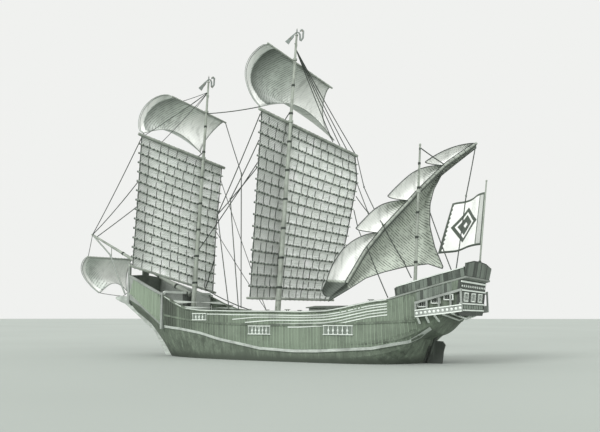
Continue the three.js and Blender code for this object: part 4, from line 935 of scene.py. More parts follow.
def rigging():
    """Rows of name, the body named for it, whether it is thick, and its lines. Its end on the ship and its
    end on the sail follow where they aren't the two ends of its first line."""
    tip = bowsprit_at(22.85)
    main_head, fore_head, mizzen_head = mast_at("main", 25.9), mast_at("fore", 23.6), mast_at("mizzen", 15.9)
    fore = lambda s, t, w=0.42: sail_at("fore", s, -w, t)
    main = lambda s, t, w=0.45: sail_at("main", s, -w, t)
    mizzen = lambda s, t, w=0.3: sail_at("mizzen", s, -w, t)
    sprit = lambda s: sail_at("sprit", s, 0, 8.95)
    clew = lambda name, u: SAIL_FRAMES[SQUARE_SAILS[name]["mast"]] @ square_spot(SQUARE_SAILS[name], u, 0)
    port = lambda x: Vector((x, rail_y(x), rail_z(x) + 0.08))
    starboard = lambda x: Vector((x, -rail_y(x), rail_z(x) + 0.08))
    return [
        ("fore_topsail_bowline", "fore_sails", True, [[tip, clew("fore_topsail", 0)]]),
        ("fore_lug_bowline", "fore_sails", True, [[tip, fore(5.91, 14.59)]]),
        ("spritsail_lift", "bow_sail", False, [[tip, sprit(2.3)], [tip, sprit(-2.3)]]),
        ("spritsail_sheet", "bow_sail", False, [[Vector((18.6, 0.1, 5.25)), clew("spritsail", 0)],
                                                [Vector((18.6, -0.1, 5.25)), clew("spritsail", 1)]]),
        ("fore_topsail_brace", "fore_sails", True,
         [[starboard(7.6), Vector((7.2, -2.9, 16.4)), fore(-2.31, 21.35, 0.3)]]),
        ("fore_sheet", "fore_sails", True, [[port(1.7), fore(-1.39, 5.79), fore(-2.16, 8.57)]],
         port(1.7), fore(-2.4, 5.65)),
        ("main_bowline", "main_sails", True,
         [[port(3.5), BRIDLE, main(2.88, 19.73)], [BRIDLE, main(2.74, 15.34)],
          [port(2.6), Vector((4.2, 3.0, 12.8)), main(2.81, 17.54)]], port(3.5), main(2.69, 16.34)),
        ("main_topsail_bowline", "main_sails", True, [[mast_at("fore", 21.6), clew("main_topsail", 0)]]),
        ("main_yard_lifts", "main_sails", True,
         [[main_head, main(s, t)] for s, t in
          ((-8.32, 18.33), (-7.19, 18.56), (-6.27, 18.8), (-5.35, 18.98))],
         main_head, main(-6.58, 18.6)),
        ("main_yard_sheet", "main_sails", True, [[main(-8.48, 18.24), *SHEETS["yard"], SHEET_FOOT]],
         SHEET_FOOT, main(-8.48, 18.24)),
        ("main_leech_sheet", "main_sails", True,
         [[main(-8.64, 15.84), *SHEETS["upper"]], [main(-8.67, 14.5), SHEETS["upper"][0]]],
         SHEETS["yard"][1], main(-8.64, 15.84)),
        ("main_lower_sheet", "main_sails", True, [[main(-8.5, 13.2), *SHEETS["lower"], port(-9.75)]],
         port(-9.75), main(-8.5, 13.2)),
        ("fore_yard_lifts", "fore_sails", False,
         [[fore_head, fore(s, t)] for s, t in ((5.81, 18.48), (4.1, 18.2))], fore_head, fore(4.41, 18.29)),
        ("fore_topsail_lifts", "fore_sails", False,
         [[fore_head, fore(s, t, 0.3)] for s, t in ((2.32, 22.34), (1.51, 22.15), (0.91, 22.06))],
         fore_head, fore(1.51, 22.2, 0.3)),
        ("fore_leech_lines", "fore_sails", False,
         [[starboard(5.0), fore(s, t)] for s, t in ((-2.13, 11.08), (-2.28, 15.88))],
         starboard(5.0), fore(-2.3, 12.08)),
        ("lateen_lift", "mizzen_sail", True, [[mizzen_head, mizzen(-1.95, 14.8)]]),
        ("lateen_vang", "mizzen_sail", True,
         [[Vector((-14.4, 3.15, 6.45)), Vector((-14.6, 0.8, 11.75)), mizzen(-4.3, 16.6)]]),
        ("lateen_sheet", "mizzen_sail", True, [[Vector((-14.1, 3.3, 6.4)), mizzen(-1.0, 11.1, 0.4)]],
         Vector((-14.1, 3.3, 6.4)), mizzen(-1.0, 11.1)),
        ("fore_stay", "ship", True, [[mast_at("fore", 18.05), bowsprit_at(22.3)]]),
        ("main_stay", "ship", True, [[mast_at("main", 20.6), mast_at("fore", 8.6) + Vector((0.3, 0, 0))]]),
    ]


class ShipOperator(Operator):
    """Shared by the ship's own operators"""
    bl_options = {"REGISTER", "UNDO"}

    def execute(self, context):
        random.seed(context.scene.ship_stage.seed)
        self.make(context, context.scene.ship_sizes)
        return {"FINISHED"}


class SHIP_OT_stage(ShipOperator):
    """The camera, the soft light, the pale sky and the floor at the waterline"""
    bl_idname = "ship.stage"
    bl_label = "Stage"

    def make(self, context, sizes):
        stage, scene = context.scene.ship_stage, context.scene
        camera = bpy.data.objects.new("camera", bpy.data.cameras.new("camera"))
        camera.data.lens, camera.data.sensor_width = CAMERA_LENS, CAMERA_SENSOR
        camera.data.clip_start, camera.data.clip_end = CAMERA_CLIP
        camera.location = CAMERA_AT
        self.aim(scene, camera, CAMERA_LOOK)
        scene.camera = camera
        for name, power, softness, way in LIGHTS:
            lamp = bpy.data.objects.new(name, bpy.data.lights.new(name, "SUN"))
            lamp.data.energy, lamp.data.angle = getattr(stage, power), math.radians(softness)
            self.aim(scene, lamp, Vector(way))

        scene.world = scene.world or bpy.data.worlds.new("sky")
        scene.world.use_nodes = True
        sky = scene.world.node_tree.nodes["Background"]
        sky.inputs["Color"].default_value = (*stage.paper, 1)
        sky.inputs["Strength"].default_value = stage.sky
        scene.view_settings.view_transform = "Standard"

        floor_finish("floor", stage.floor)
        floor = Build()
        floor.grid(8, 8, lambda u, v: Vector(((u - 0.5) * FLOOR_SIZE, (v - 0.5) * FLOOR_SIZE, 0)))
        floor.piece("floor", "floor", body=None, closed=False)

    def aim(self, scene, piece, way):
        piece.rotation_mode = "QUATERNION"
        piece.rotation_quaternion = way.to_track_quat("-Z", "Y")
        scene.collection.objects.link(piece)


NODE_FINISHES = {
    "hull_timber": ["hull", "bulwark_port", "bulwark_starboard", "cabin_side_port", "cabin_side_starboard",
                    "wale_upper_port", "wale_upper_starboard"],
    "dark_boards": ["stern_post", "rudder", "transom", "bowsprit_bitts", "windlass_posts", "poop_rail"],
    "dark_timber": ["keel", "deckhouse_roof", "cabin_door", "bow_bulkhead"],
    "wale_timber": ["wale_lower_port", "wale_lower_starboard", "stem"],
    "pale_timber": ["bow_wing_port", "bow_wing_starboard", "gallery_port", "gallery_starboard"],
    "deck_planks": ["poop_deck", "hatch_main", "hatch_fore"],
    "cross_planks": ["cabin_front", "deckhouse_walls"],
    "spar_timber": ["foremast", "mainmast", "mizzenmast", "flag_pole", "lateen_yard", "bowsprit"],
    "cross_spar": ["fore_lug_yard", "fore_lug_boom", "fore_topsail_yard", "main_lug_yard", "main_lug_boom",
                   "main_topsail_yard", "spritsail_yard", "windlass_drum"],
    "forged_iron": ["vane_fore", "vane_main"],
}


class SHIP_OT_finish_frame(ShipOperator):
    """Gives each of the frame's own solids its finish"""
    bl_idname = "ship.finish_frame"
    bl_label = "Frame finishes"

    def make(self, context, sizes):
        for name, nodes in NODE_FINISHES.items():
            for node in nodes:
                for slot in NODES[node].material_slots:
                    slot.material = finish(name)


def upright_boards(build, sizes, x_from, x_to, low, high, vary=0.07, seam=0.3):
    """Upright boards on the ship's side between two heights, with a paler strip over each seam."""
    count = round((x_to - x_from) / sizes.board)
    pitch = (x_to - x_from) / count

    def board(side, x, width, proud, tint):
        ends = (low(x), high(x) - random.uniform(0, 0.02))

        def point(u, v):
            z = lerp(*ends, v)
            return Vector((x + u * width, side * (side_y(x + u * width, z) + proud), z))

        build.slab(1, 6, point, (0, -side * proud * BACKING, 0), tint=min(max(tint, 0.0), 1.0))

    for side in SIDES.values():
        for i in range(count):
            x = x_from + pitch * i
            # the board's tone from the table, with the painted shade at the bow
            tint = along(BOARD_TONE_AND_SHADE, x)[0]
            proud = sizes.board_thick + random.uniform(-BOARD_PLAY, BOARD_PLAY)
            board(side, x, pitch - sizes.board_gap, proud, tint + random.uniform(-vary, vary))
            pale = tint * (1 + seam * 2) + random.uniform(-0.5, 1) * seam * tint
            board(side, x - sizes.seam_strip / 2, sizes.seam_strip, sizes.board_thick + STRIP_PROUD, pale)


def rail_boards(build, sizes):
    """Upright boards on the poop rail's flared faces, outside and in, and on the taffrail."""
    front, aft, height = POOP_RAIL["front"], POOP_RAIL["aft"], POOP_RAIL["height"]
    count = round((front - aft) / sizes.board)
    width = (front - aft) / count - sizes.board_gap
    for side in SIDES.values():
        for face, offset in ((1, -0.04), (-1, -0.04 - POOP_RAIL["thick"])):
            for i in range(count):
                x = lerp(aft, front, i / count)

                def point(u, v):
                    near = x + u * width
                    out = along(POOP_EDGE, near)[0] + offset + POOP_RAIL["flare"] * v + face * STRIP_PROUD
                    return Vector((near, side * out, poop_top(near) + 0.02 + (height - 0.03) * v))

                build.slab(1, 2, point, (0, -side * face * STRIP_PROUD * BACKING, 0),
                           tint=random.random() * 0.6)
    half = TAFFRAIL_FACE["half"]
    count = round(2 * half / sizes.board)
    for i in range(count):
        y = lerp(-half, half, i / count)
        top = along(TAFFRAIL, y + sizes.board / 2)[0] - 0.08

        def upright(u, v):
            z = lerp(TAFFRAIL_FACE["foot"], top, v)
            return Vector((-15.02 - TAFFRAIL_FACE["lean"] * (z - 5.95),
                           y + u * (2 * half / count - sizes.board_gap), z))

        build.slab(1, 1, upright, (0.02, 0, 0), tint=random.random() * 0.6)


def strake_on_side(build, side, rows, height, out, tint, count=24):
    """A strake along the ship's side: rows of x and the height of its middle."""
    x_from, x_to = rows[0][0], rows[-1][0]

    def point(u, v):
        x = lerp(x_from, x_to, u)
        z = along(rows, x)[0] + (v - 0.5) * height
        return Vector((x, side * (side_y(x, z) + out), z))

    build.slab(count, 1, point, (0, -side * (out + 0.02), 0), tint=tint)


class SHIP_OT_hull_boards(ShipOperator):
    """Upright boards from the lower wale to the rail, darker at the bow as painted shade, and the stern's
    dark boards
    """
    bl_idname = "ship.hull_boards"
    bl_label = "Hull boards"

    def make(self, context, sizes):
        build = Build()
        upright_boards(build, sizes, -11.6, 10.5, wale_top, top_of_side)
        upright_boards(build, sizes, 11.0, 15.55, lambda x: along(BOW_RAIL, x)[0] + 0.11,
                       lambda x: along(WING_RAIL, x)[0] - 0.16, vary=0.2, seam=0.6)
        build.piece("hull_boards", "hull_boards", slot="hull_wood", bevel=0.006)
        dark = Build()
        upright_boards(dark, sizes, -14.1, -11.75, lambda x: along(GALLERY, x)[2] + 0.17,
                       lambda x: poop_top(x) - 0.14, vary=0.3)
        rail_boards(dark, sizes)
        dark.piece("dark_boards", "dark_boards", slot="dark_wood", bevel=0.006)


class SHIP_OT_strakes(ShipOperator):
    """Thin pale strakes under the rail, more of them aft, and the caps of the rails"""
    bl_idname = "ship.strakes"
    bl_label = "Strakes"

    def make(self, context, sizes):
        build = Build()
        for side in SIDES.values():
            for line in STRAKES:
                xs = [lerp(line[0][0], line[-1][0], f) for f in steps(24)]
                rows = [(x, top_of_side(x) - along(line, x)[0]) for x in xs]
                strake_on_side(build, side, rows, STRAKE["height"], STRAKE["out"], random.uniform(0.3, 0.7))
            rows = [(x, rail_z(x) - RAIL_CAP["down"]) for x in [lerp(*RAIL_CAP["x"], f) for f in steps(30)]]
            strake_on_side(build, side, rows, RAIL_CAP["height"], RAIL_CAP["out"], 0.45, 60)
            build.chain([Vector((x, side * (along(POOP_EDGE, x)[0] + POOP_RAIL["flare"]),
                                 poop_top(x) + POOP_RAIL["height"] + 0.06)) for x in POOP_RAIL["cap"]],
                        0.05, 0.07)
        build.chain([Vector((-15.09 - TAFFRAIL_FACE["lean"] * (z - TAFFRAIL[0][1]), y, z - 0.03))
                     for y, z in TAFFRAIL], 0.13, 0.07)
        build.piece("rail_strakes", "pale_timber", slot="pale_wood", bevel=0.012)


class SHIP_OT_ports(ShipOperator):
    """Balustered ports in the ship's side, in pale frames"""
    bl_idname = "ship.ports"
    bl_label = "Side ports"

    def make(self, context, sizes):
        frames, backs, baluster = Build(), Build(), turned(BALUSTER)
        for side in SIDES.values():
            for x, z, half, tall in PORTS:
                def spot(dx, dz, out=0.07):
                    return Vector((x + dx, side * (side_y(x + dx, z + dz) + out), z + dz))

                backs.slab(4, 2, lambda u, v: spot((u * 2 - 1) * half, (v - 0.5) * tall, 0.05),
                           (0, -side * 0.05, 0))
                for dz in (-tall / 2, tall / 2):
                    frames.chain([spot(half * (k / 2 - 1) * 1.06, dz) for k in range(5)], 0.12, 0.07,
                                 tint=0.6)
                for dx in (-half, half):
                    frames.beam(spot(dx, -tall / 2), spot(dx, tall / 2), 0.05, 0.05, FORWARD, 0.3)
                count = round(2 * half / BALUSTER_SPACE)
                for i in range(1, count):
                    foot, head = [spot(half * (2 * i / count - 1), dz) for dz in (-tall / 2, tall / 2)]
                    stretch = Matrix.Diagonal((1, 1, (head - foot).length / BALUSTER[-1][0], 1))
                    frames.add(baluster, pointing(foot, head - foot) @ stretch, 0.6)
        frames.piece("port_frames", "pale_upright", slot="pale_wood", bevel=0.008)
        backs.piece("port_backs", "dark_boards", slot="dark_wood")


class SHIP_OT_gallery(ShipOperator):
    """Windows, panels, knees and carving of the quarter galleries and the transom"""
    bl_idname = "ship.gallery"
    bl_label = "Gallery and transom"

    def make(self, context, sizes):
        pale, dark, boss = Build(), Build(), turned(BOSS)
        for side in SIDES.values():
            self.quarter(pale, boss, side)
        self.transom(pale, dark, boss)
        pale.piece("stern_carving", "pale_upright", slot="pale_wood", bevel=0.006)
        dark.piece("stern_panels", "dark_boards", slot="dark_wood", bevel=0.012)

    def quarter(self, pale, boss, side):
        outwards = Matrix.Rotation(-side * math.pi / 2, 4, "X")
        for x, z in QUARTER_WINDOWS:
            def spot(dx, dz, out=0.03):
                return Vector((x + dx, side * (side_y(x + 0.4, z) - 0.08 + out), z + dz))

            for a, b in WINDOW_FRAME:
                pale.beam(spot(*a, 0.1), spot(*b, 0.1), 0.06, 0.06, (0, side, 0), 0.9)
            for dx in (-0.18, -0.06, 0.06, 0.18):
                pale.beam(spot(dx, -0.17), spot(dx, 0.17), 0.03, 0.03, (0, side, 0), 0.6)
        for i, f in enumerate(steps(10)):
            x = lerp(-11.85, -14.68, f)
            y, shelf, _ = along(GALLERY, x)
            pale.add(boss, Matrix.Translation((x, side * (y + 0.235), shelf + 0.25)) @ outwards, 0.95)
            if i % 2 == 0 and x > -14.3:
                low = Vector((x, side * (side_y(x, shelf - 0.42) - 0.02), shelf - 0.42))
                pale.beam(low, (x, side * (y + 0.16), shelf - 0.02), 0.1, 0.12, FORWARD, 0.7)
        for up in (0.04, 0.46):
            rows = [(x, *along(GALLERY, x)) for x in GALLERY_RAIL]
            pale.chain([Vector((x, side * (y + 0.25), shelf + up)) for x, y, shelf, _ in rows],
                       0.05, 0.07, tint=1.0)

    def transom(self, pale, dark, boss):
        def across(z, y, half, out=0.0):
            return [(transom_x(z) + out, y + k * half, z) for k in (-1, 1)]

        foot, middle, head = [STERN_WINDOWS[key] for key in ("foot", "middle", "head")]
        for y in STERN_WINDOWS["y"]:
            for z in (foot, head):
                pale.beam(*across(z, y, 0.48), 0.09, 0.08, tint=0.9)
            for dy, wide in ((-0.45, 0.08), (-0.15, 0.035), (0.15, 0.035), (0.45, 0.08)):
                pale.beam(*[(transom_x(z), y + dy, z) for z in (foot, head)], wide, wide, FORWARD, 0.8)
            pale.beam(*across(middle, y, 0.42, 0.04), 0.03, 0.03, tint=0.8)
        for z, half, height in STERN_RAILS:
            pale.beam(*across(z, 0, half), 0.07, height, tint=0.8)
        z, aft = STERN_BOSSES, Matrix.Rotation(-math.pi / 2, 4, "Y")
        for f in steps(12):
            pale.add(boss, Matrix.Translation((transom_x(z) + 0.03, lerp(-2.9, 2.9, f), z)) @ aft, 1.0)
        z = STERN_PANELS
        for f in steps(8):
            dark.box((transom_x(z) + 0.02, lerp(-2.55, 2.55, f), z), (0.05, 0.46, 0.26), tint=0.9)


class SHIP_OT_decks(ShipOperator):
    """Deck planks, the beam between the bow wings, cleats and rope coils"""
    bl_idname = "ship.decks"
    bl_label = "Decks"

    def make(self, context, sizes):
        planks = Build()
        count = round(2 * DECK_HALF / sizes.deck_plank)
        width = 2 * DECK_HALF / count - 0.02
        for j in range(count):
            y = lerp(-DECK_HALF, DECK_HALF, j / count)
            inside = [x for x in [i * 0.5 - 9.5 for i in range(50)]
                      if max(abs(y), abs(y + width)) < along(DECK_EDGE, x)[0]]
            if len(inside) < 3:
                continue

            def point(u, v):
                x, across = lerp(inside[0], inside[-1], u), y + v * width
                return Vector((x, across, deck_z(x, across) + 0.012))

            planks.slab(24, 1, point, (0, 0, -0.03), tint=random.random())
        planks.piece("deck_planking", "deck_planks", slot="deck_wood")

        beam, (x, z, half, size, corner) = Build(), BOW_BEAM.values()
        beam.beam((x, -half + corner, z), (x, half - corner, z), size, size)
        for side in SIDES.values():
            bend = [Vector((x, side * (half - corner + corner * math.sin(a)),
                            z - corner * (1 - math.cos(a)))) for a in [math.pi / 2 * f for f in steps(4)]]
            beam.chain(bend, size, size, FORWARD)
            foot = along(BOW_RAIL, x)[0]
            beam.beam(bend[-1], (x, side * (side_y(x + 0.1, foot + 0.4) + 0.03), foot),
                      0.2, 0.14, FORWARD, 0.6)
        beam.piece("bow_beam", "pale_upright", slot="pale_wood", bevel=0.02)

        cleats, ropes = Build(), []
        for side in SIDES.values():
            for x in CLEATS:
                y, z = side * rail_y(x), rail_z(x)
                cleats.beam((x - 0.24, y, z + 0.09), (x + 0.24, y, z + 0.09), 0.07, 0.05, tint=0.3)
                for dx in (-0.08, 0.08):
                    cleats.box((x + dx, y, z + 0.04), (0.06, 0.07, 0.1), tint=0.3)
                inboard = y - side * 0.75
                ropes.append(coil((x + 0.5, inboard, deck_z(x, inboard) + 0.02), 0.32, 5, 0.035))
        cleats.piece("cleats", "dark_timber", slot="dark_wood", bevel=0.01)
        laid("deck_coils", ropes, COIL)


class SHIP_OT_lugsails(ShipOperator):
    """The matted lugsails: woven panels between bamboo battens, with ties, edge ropes and lashings"""
    bl_idname = "ship.lugsails"
    bl_label = "Lugsails"

    def make(self, context, sizes):
        for kind, sail in LUGS.items():
            self.mats(kind, sail)
            self.battens(kind, sail, sizes)
            self.ropes(kind, sail, sizes)

    def swell(self, sail, v):
        """How far the mats swell between two battens."""
        return MAT_SWELL * math.sin(math.pi * (v * sail["battens"] % 1.0)) ** 0.7

    def mats(self, kind, sail):
        rows = sail["battens"]
        across = abs(sail["port"][0][0] - sail["starboard"][0][0])
        frayed = [[random.uniform(-0.06, 0.06) for _ in range(rows * 5 + 1)] for _ in (0, 1)]

        def mat(u, v):
            edge = frayed[u > 0.5][round(v * rows * 5)] / across if u in (0, 1) else 0
            return on_sail(kind, lug_spot(sail, u + edge, v), -self.swell(sail, v))

        def reeds(u, v):
            spot = lug_spot(sail, u, v)
            return spot.x, spot.z

        # painted shade on the mats: darker towards the port edge and near the yard
        def depth(u, v):
            return min(max((sail["shade"] - u) / 0.2 + 0.3, 0.0, (v - 0.9) / 0.1), 1.0)

        build = Build()
        build.slab(sail["seams"] * 5, rows * 5, mat, lee_of(kind) * MAT_THICK, uv=reeds, depth=depth)
        piece = build.piece(f"{kind}_mats", "reed_matting", f"{kind}_sails", "matting")
        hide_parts(f"{kind}_lug_sail")

    def battens(self, kind, sail, sizes):
        body, rows = f"{kind}_sails", sail["battens"]
        poles, nubs, ties = [], Build(), Build()
        for v in [i / rows for i in range(1, rows)]:
            width = lug_width(sail, v)
            reach = 0.18 / width
            line = [lug_spot(sail, lerp(-reach, 1 + reach, f), v) for f in steps(10)]
            poles += [[on_sail(kind, p, face * (sizes.batten + 0.01)) for p in line] for face in (1, -1)]
            count = round(width / sizes.tie_spacing)
            for k in range(count):
                f = (k + 0.5 + random.uniform(-0.2, 0.2)) / count
                lift = random.uniform(-0.05, 0.05)
                ends = [on_sail(kind, lug_spot(sail, f + d * 0.06 / width, v), 0.05, d * lift)
                        for d in (-1, 1)]
                ties.rod(*ends, sizes.batten + 0.03, tint=random.random())
            ends = [on_sail(kind, lug_spot(sail, f, v)) for f in (-reach * 1.15, -reach * 0.2)]
            nubs.rod(*ends, sizes.batten * 2.0, sizes.batten * 1.4)
        laid(f"{kind}_battens", poles, sizes.batten, "bamboo", body)
        ties.piece(f"{kind}_batten_ties", "rope", body, "spar_wood")
        nubs.piece(f"{kind}_batten_nubs", "dark_timber", body, "dark_wood", bevel=0.015)

    def ropes(self, kind, sail, sizes):
        body, rows, seams, turns = f"{kind}_sails", sail["battens"], [], []
        edges = [[on_sail(kind, lug_spot(sail, u, v)) for v in steps(rows * 2)] for u in (0, 1)]
        for k in range(sail["seams"]):
            for i in range(rows):
                u = (k + 1 + random.uniform(-0.14, 0.14)) / (sail["seams"] + 1)
                ends = [(i + random.uniform(0.0, 0.2)) / rows, (i + random.uniform(0.65, 1.0)) / rows]
                seams.append([on_sail(kind, lug_spot(sail, u + 0.004 * f, lerp(*ends, f)),
                                      0.025 - self.swell(sail, lerp(*ends, f))) for f in steps(3)])
        for v, radius in YARD_LASHINGS:
            count = round(lug_width(sail, v) / 0.5)
            for k in range(count):
                mid = lug_spot(sail, (k + 0.5) / count, v)
                turns.append([sail_at(kind, mid.x + 0.012 * n, a - sail["lee"], mid.z + b)
                              for a, b, n in winding(radius + LASHING, 3)])
        laid(f"{kind}_edge_ropes", edges, sizes.bolt_rope, body=body)
        laid(f"{kind}_mat_seams", seams, MAT_SEAM, body=body)
        laid(f"{kind}_yard_lashings", turns, LASHING, "pale_rope", body)


def cloth_sail(name, node, body, spot, kind, divisions, material, slot, shaded):
    """A sheet of sewn cloth hung on its yard."""
    build = Build()
    build.slab(*divisions, lambda u, v: SAIL_FRAMES[kind] @ spot(u, v), lee_of(kind) * CLOTH_THICK,
               uv=lambda u, v: (spot(u, v).x, spot(u, v).z), depth=shaded)
    piece = build.piece(name, material, body, slot, smooth=True)
    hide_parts(node)
    return piece


class SHIP_OT_square_sails(ShipOperator):
    """The topsails and the spritsail, with their bolt ropes and head lacings"""
    bl_idname = "ship.square_sails"
    bl_label = "Square sails"

    def make(self, context, sizes):
        for name, sail in SQUARE_SAILS.items():
            kind, body = sail["mast"], sail["body"]
            folds = [(random.uniform(5, 9), random.uniform(0, 6), random.uniform(0.5, 1)) for _ in range(3)]

            def spot(u, v):
                made = square_spot(sail, u, v)
                crease = 0.0
                for corner, away in ((0, u), (1, 1 - u)):
                    angle = math.atan2(v + 0.02, away + 0.02)
                    fade = math.exp(-math.hypot(v, away) * 2.2)
                    for pitch, phase, size in folds:
                        crease += size * math.sin(angle * pitch * 2 + phase + corner) * fade
                gather = 0.03 * math.sin(u * math.tau * 9) * v ** 4
                made.y += (0.035 * crease + gather) * min(v * 6, 1) * min((1 - v) * 12, 1)
                return made

            # painted light and shade: a strip along the port edge painted pale, then painted shade that
            # darkens towards the port side and near the yard
            def shaded(u, v):
                if u < 0.09:
                    return 0.0
                return max(0.12, sail["dark"] - 2.6 * u) + 0.3 * max(0.0, v - 0.8)

            piece = cloth_sail(f"{name}_cloth", name, body, spot, kind, (44, 32), "dark_canvas",
                               "dark_cloth", shaded)

            edge = [spot(0, v) for v in steps(24)] + [spot(u, 1) for u in steps(8)][1:]
            edge += [spot(1, 1 - v) for v in steps(24)][1:] + [spot(1 - u, 0) for u in steps(20)][1:]
            second = [spot(0, v) + Vector((0.13, 0, 0)) for v in steps(24)]
            laid(f"{name}_bolt_rope", [[on_sail(kind, p) for p in line] for line in (edge, second)],
                 sizes.bolt_rope * 0.8, "pale_rope", body)
            heads = [square_spot(sail, (k + 0.5) / 14, 1) for k in range(14)]
            turns = winding(0.1 if kind == "sprit" else 0.09, 2)
            laid(f"{name}_lacing", [[sail_at(kind, head.x + 0.02 * n, a - sail["lee"], head.z + b)
                                     for a, b, n in turns] for head in heads], LACING, "pale_rope", body)


class SHIP_OT_lateen(ShipOperator):
    """The lateen: pale lobes over the yard and the cloth under it painted darker as shade"""
    bl_idname = "ship.lateen"
    bl_label = "Lateen"

    def make(self, context, sizes):
        kind, body, share, lee = "mizzen", "mizzen_sail", LATEEN["ahead"], LATEEN["lee"]

        def spot(u, v):
            f = u / share - 1 if u < share else (u - share) / (1 - share)
            row = lateen_row(v)
            made = lateen_spot(f, row)
            made.y += 0.03 * math.sin(row * 70 + f * 2) * abs(f) * (1 - abs(f)) * 2
            return made

        # painted shade: the tack dark, the cloth under the yard darker next to the yard, each lobe towards
        # its upper end
        def shaded(u, v):
            row = lateen_row(v)
            if row < 0.1:
                return 2.0
            if u < share:
                lobe, at = lobe_at(row)
                return LATEEN["lobe_painted_shade"][lobe] * max(at - 0.4, 0) / 0.6 * (u / share) ** 0.5
            return 0.85 + 0.9 * max(0.0, 1 - (u - share) / 0.16)

        piece = cloth_sail("lateen_cloth", "lateen_sail", body, spot, kind, (30, 96), "lateen_canvas",
                           "pale_cloth", shaded)
        rim = [[on_sail(kind, spot(u, v)) for v in steps(count)] for u, count in ((0, 192), (1, 96))]
        for k in (-0.15, 0.15):
            jack = [lateen_yard(lerp(0.1, 0.98, f)) for f in steps(48)]
            rim.append([sail_at(kind, at.x - k * way.y, 0.02 - lee, at.y + k * way.x) for at, way in jack])
        laid("lateen_bolt_rope", rim, sizes.bolt_rope * 0.8, body=body)
        turns = [[sail_at(kind, at.x - way.y * a, b - lee, at.y + way.x * a) for a, b, _ in winding(0.12, 2)]
                 for at, way in [lateen_yard(lerp(0.12, 0.99, f)) for f in steps(29)]]
        laid("lateen_lacing", turns, LASHING, "pale_rope", body)


class SHIP_OT_flag(ShipOperator):
    """The flag at the stern, waving from its hoist, with a plain lozenge"""
    bl_idname = "ship.flag"
    bl_label = "Flag"

    def make(self, context, sizes):
        build = Build()
        turn = math.radians(FLAG["angle"])
        build.slab(42, 24, flag_spot, Vector((math.sin(turn), -math.cos(turn), 0)) * FLAG_THICK)
        piece = build.piece("flag_cloth", "flag_weave", "ship", "pale_cloth", smooth=True)
        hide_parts("flag")


class SHIP_OT_mast_fittings(ShipOperator):
    """Rope bands on the masts and bowsprit, mast cleats and the flag pole's truck"""
    bl_idname = "ship.mast_fittings"
    bl_label = "Mast fittings"

    def make(self, context, sizes):
        bands, bits, pitch, proud = [], Build(), 0.035, 0.012
        for kind, (first, last, count) in MAST_BANDS.items():
            for z in [lerp(first, last, f) for f in steps(count - 1)]:
                bands.append([mast_at(kind, z) + Vector((a, b, pitch * n))
                              for a, b, n in winding(mast_radius(kind, z) + proud, 5, 12)])
        way, port = Vector((1, 0, BOWSPRIT["slope"])).normalized(), Vector(ACROSS)
        for x in BOWSPRIT["bands"]:
            radius = lerp(0.22, 0.09, (x - 10.5) / 12.4) + proud
            bands.append([bowsprit_at(x) + port.cross(way) * a + port * b + way * pitch * n
                          for a, b, n in winding(radius, 5, 12)])
        laid("mast_bands", bands, BAND)
        for kind, heights in MAST_CLEATS.items():
            for z in heights:
                centre, radius = mast_at(kind, z), mast_radius(kind, z)
                for side in (1, -1):
                    bits.beam(centre + Vector((0, side * (radius - 0.02), -0.16)),
                              centre + Vector((0, side * (radius + 0.09), 0.16)), 0.09, 0.06, FORWARD, 0.3)
        top = FLAG_POLE["top"]
        bits.add(turned(TRUCK, 10), Matrix.Translation((pole_x(top + 0.06), 0, top)), 0.8)
        bits.piece("mast_cleats", "spar_timber", slot="spar_wood", bevel=0.008)


def blocks(name, spots, size, body):
    """A piece made of wooden pulley blocks with rounded cheeks and their pins"""
    bm = bmesh.new()
    bmesh.ops.create_uvsphere(bm, u_segments=10, v_segments=6, radius=size,
                              matrix=Matrix.Diagonal((0.55, 0.8, 1.15, 1)))
    bmesh.ops.create_cone(bm, cap_ends=True, segments=6, radius1=size * 0.2, radius2=size * 0.2,
                          depth=size * 1.3, matrix=Matrix.Rotation(math.pi / 2, 4, "Y"))
    block, build = as_mesh("block", bm), Build()
    for spot in spots:
        build.add(block, Matrix.Translation(spot), 0.3)
    return build.piece(name, "dark_timber", body, "dark_wood", smooth=True)


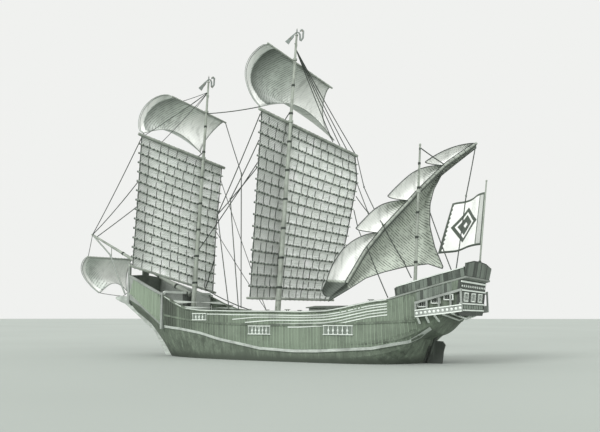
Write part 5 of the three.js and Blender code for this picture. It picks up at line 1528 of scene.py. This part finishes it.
class SHIP_OT_running_rigging(ShipOperator):
    """Sheets, lifts, bowlines, vangs and stays, hung with slack between their points, with blocks at their
    bends
    """
    bl_idname = "ship.running_rigging"
    bl_label = "Running rigging"

    def make(self, context, sizes):
        for name, body, thick, lines, *ends in rigging():
            fixed, moving = ends or (lines[0][0], lines[0][-1])
            own = "ship" if body == "ship" else None
            ropes = [hung(a, b, SLACK * (b - a).length, 12)
                     for line in lines for a, b in zip(line, line[1:])]
            pieces = [laid(name, ropes, sizes.running if thick else sizes.light_line, body=own)]
            bends = {tuple(spot) for line in lines for spot in line[1:-1]}
            if bends:
                pieces.append(blocks(f"{name}_blocks", sorted(bends), ROPE_BLOCK, own))
            if not own:
                for each in pieces:
                    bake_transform(each)
                    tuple(fixed)
                    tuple(moving)
        laid("bobstay", [BOBSTAY], BOBSTAY_ROPE, "pale_rope", sides=8)


class SHIP_OT_blocks(ShipOperator):
    """Pulley blocks at the mastheads"""
    bl_idname = "ship.blocks"
    bl_label = "Blocks"

    def make(self, context, sizes):
        blocks("ship_blocks", [mast_at(*spot) for spot in HEAD_BLOCKS], HEAD_BLOCK, "ship")


OPERATORS = (SHIP_OT_stage, SHIP_OT_finish_frame, SHIP_OT_hull_boards, SHIP_OT_strakes, SHIP_OT_ports,
             SHIP_OT_gallery, SHIP_OT_decks, SHIP_OT_lugsails, SHIP_OT_square_sails, SHIP_OT_lateen,
             SHIP_OT_flag, SHIP_OT_mast_fittings, SHIP_OT_running_rigging, SHIP_OT_blocks)


class SHIP_PT_panel(Panel):
    """The ship's sizes, colours and operators in the sidebar"""
    bl_idname = "SHIP_PT_panel"
    bl_label = "Red seal ship"
    bl_space_type = "VIEW_3D"
    bl_region_type = "UI"
    bl_category = "Ship"

    def draw(self, context):
        for group in (context.scene.ship_sizes, context.scene.ship_colours, context.scene.ship_stage):
            box = self.layout.box()
            for name in group.__annotations__:
                box.prop(group, name)
        for operator in OPERATORS:
            self.layout.operator(operator.bl_idname)


CLASSES = (ShipSizes, ShipColours, ShipStage, *OPERATORS, SHIP_PT_panel)
GROUPS = {"ship_sizes": ShipSizes, "ship_colours": ShipColours, "ship_stage": ShipStage}


def register():
    for made in CLASSES:
        bpy.utils.register_class(made)
    for name, group in GROUPS.items():
        setattr(bpy.types.Scene, name, PointerProperty(type=group))


def unregister():
    for name in GROUPS:
        delattr(bpy.types.Scene, name)
    for made in reversed(CLASSES):
        bpy.utils.unregister_class(made)


def main():
    register()
    for operator in OPERATORS:
        group, name = operator.bl_idname.split(".")
        getattr(getattr(bpy.ops, group), name)()
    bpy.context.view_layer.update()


if __name__ == "__main__":
    main()
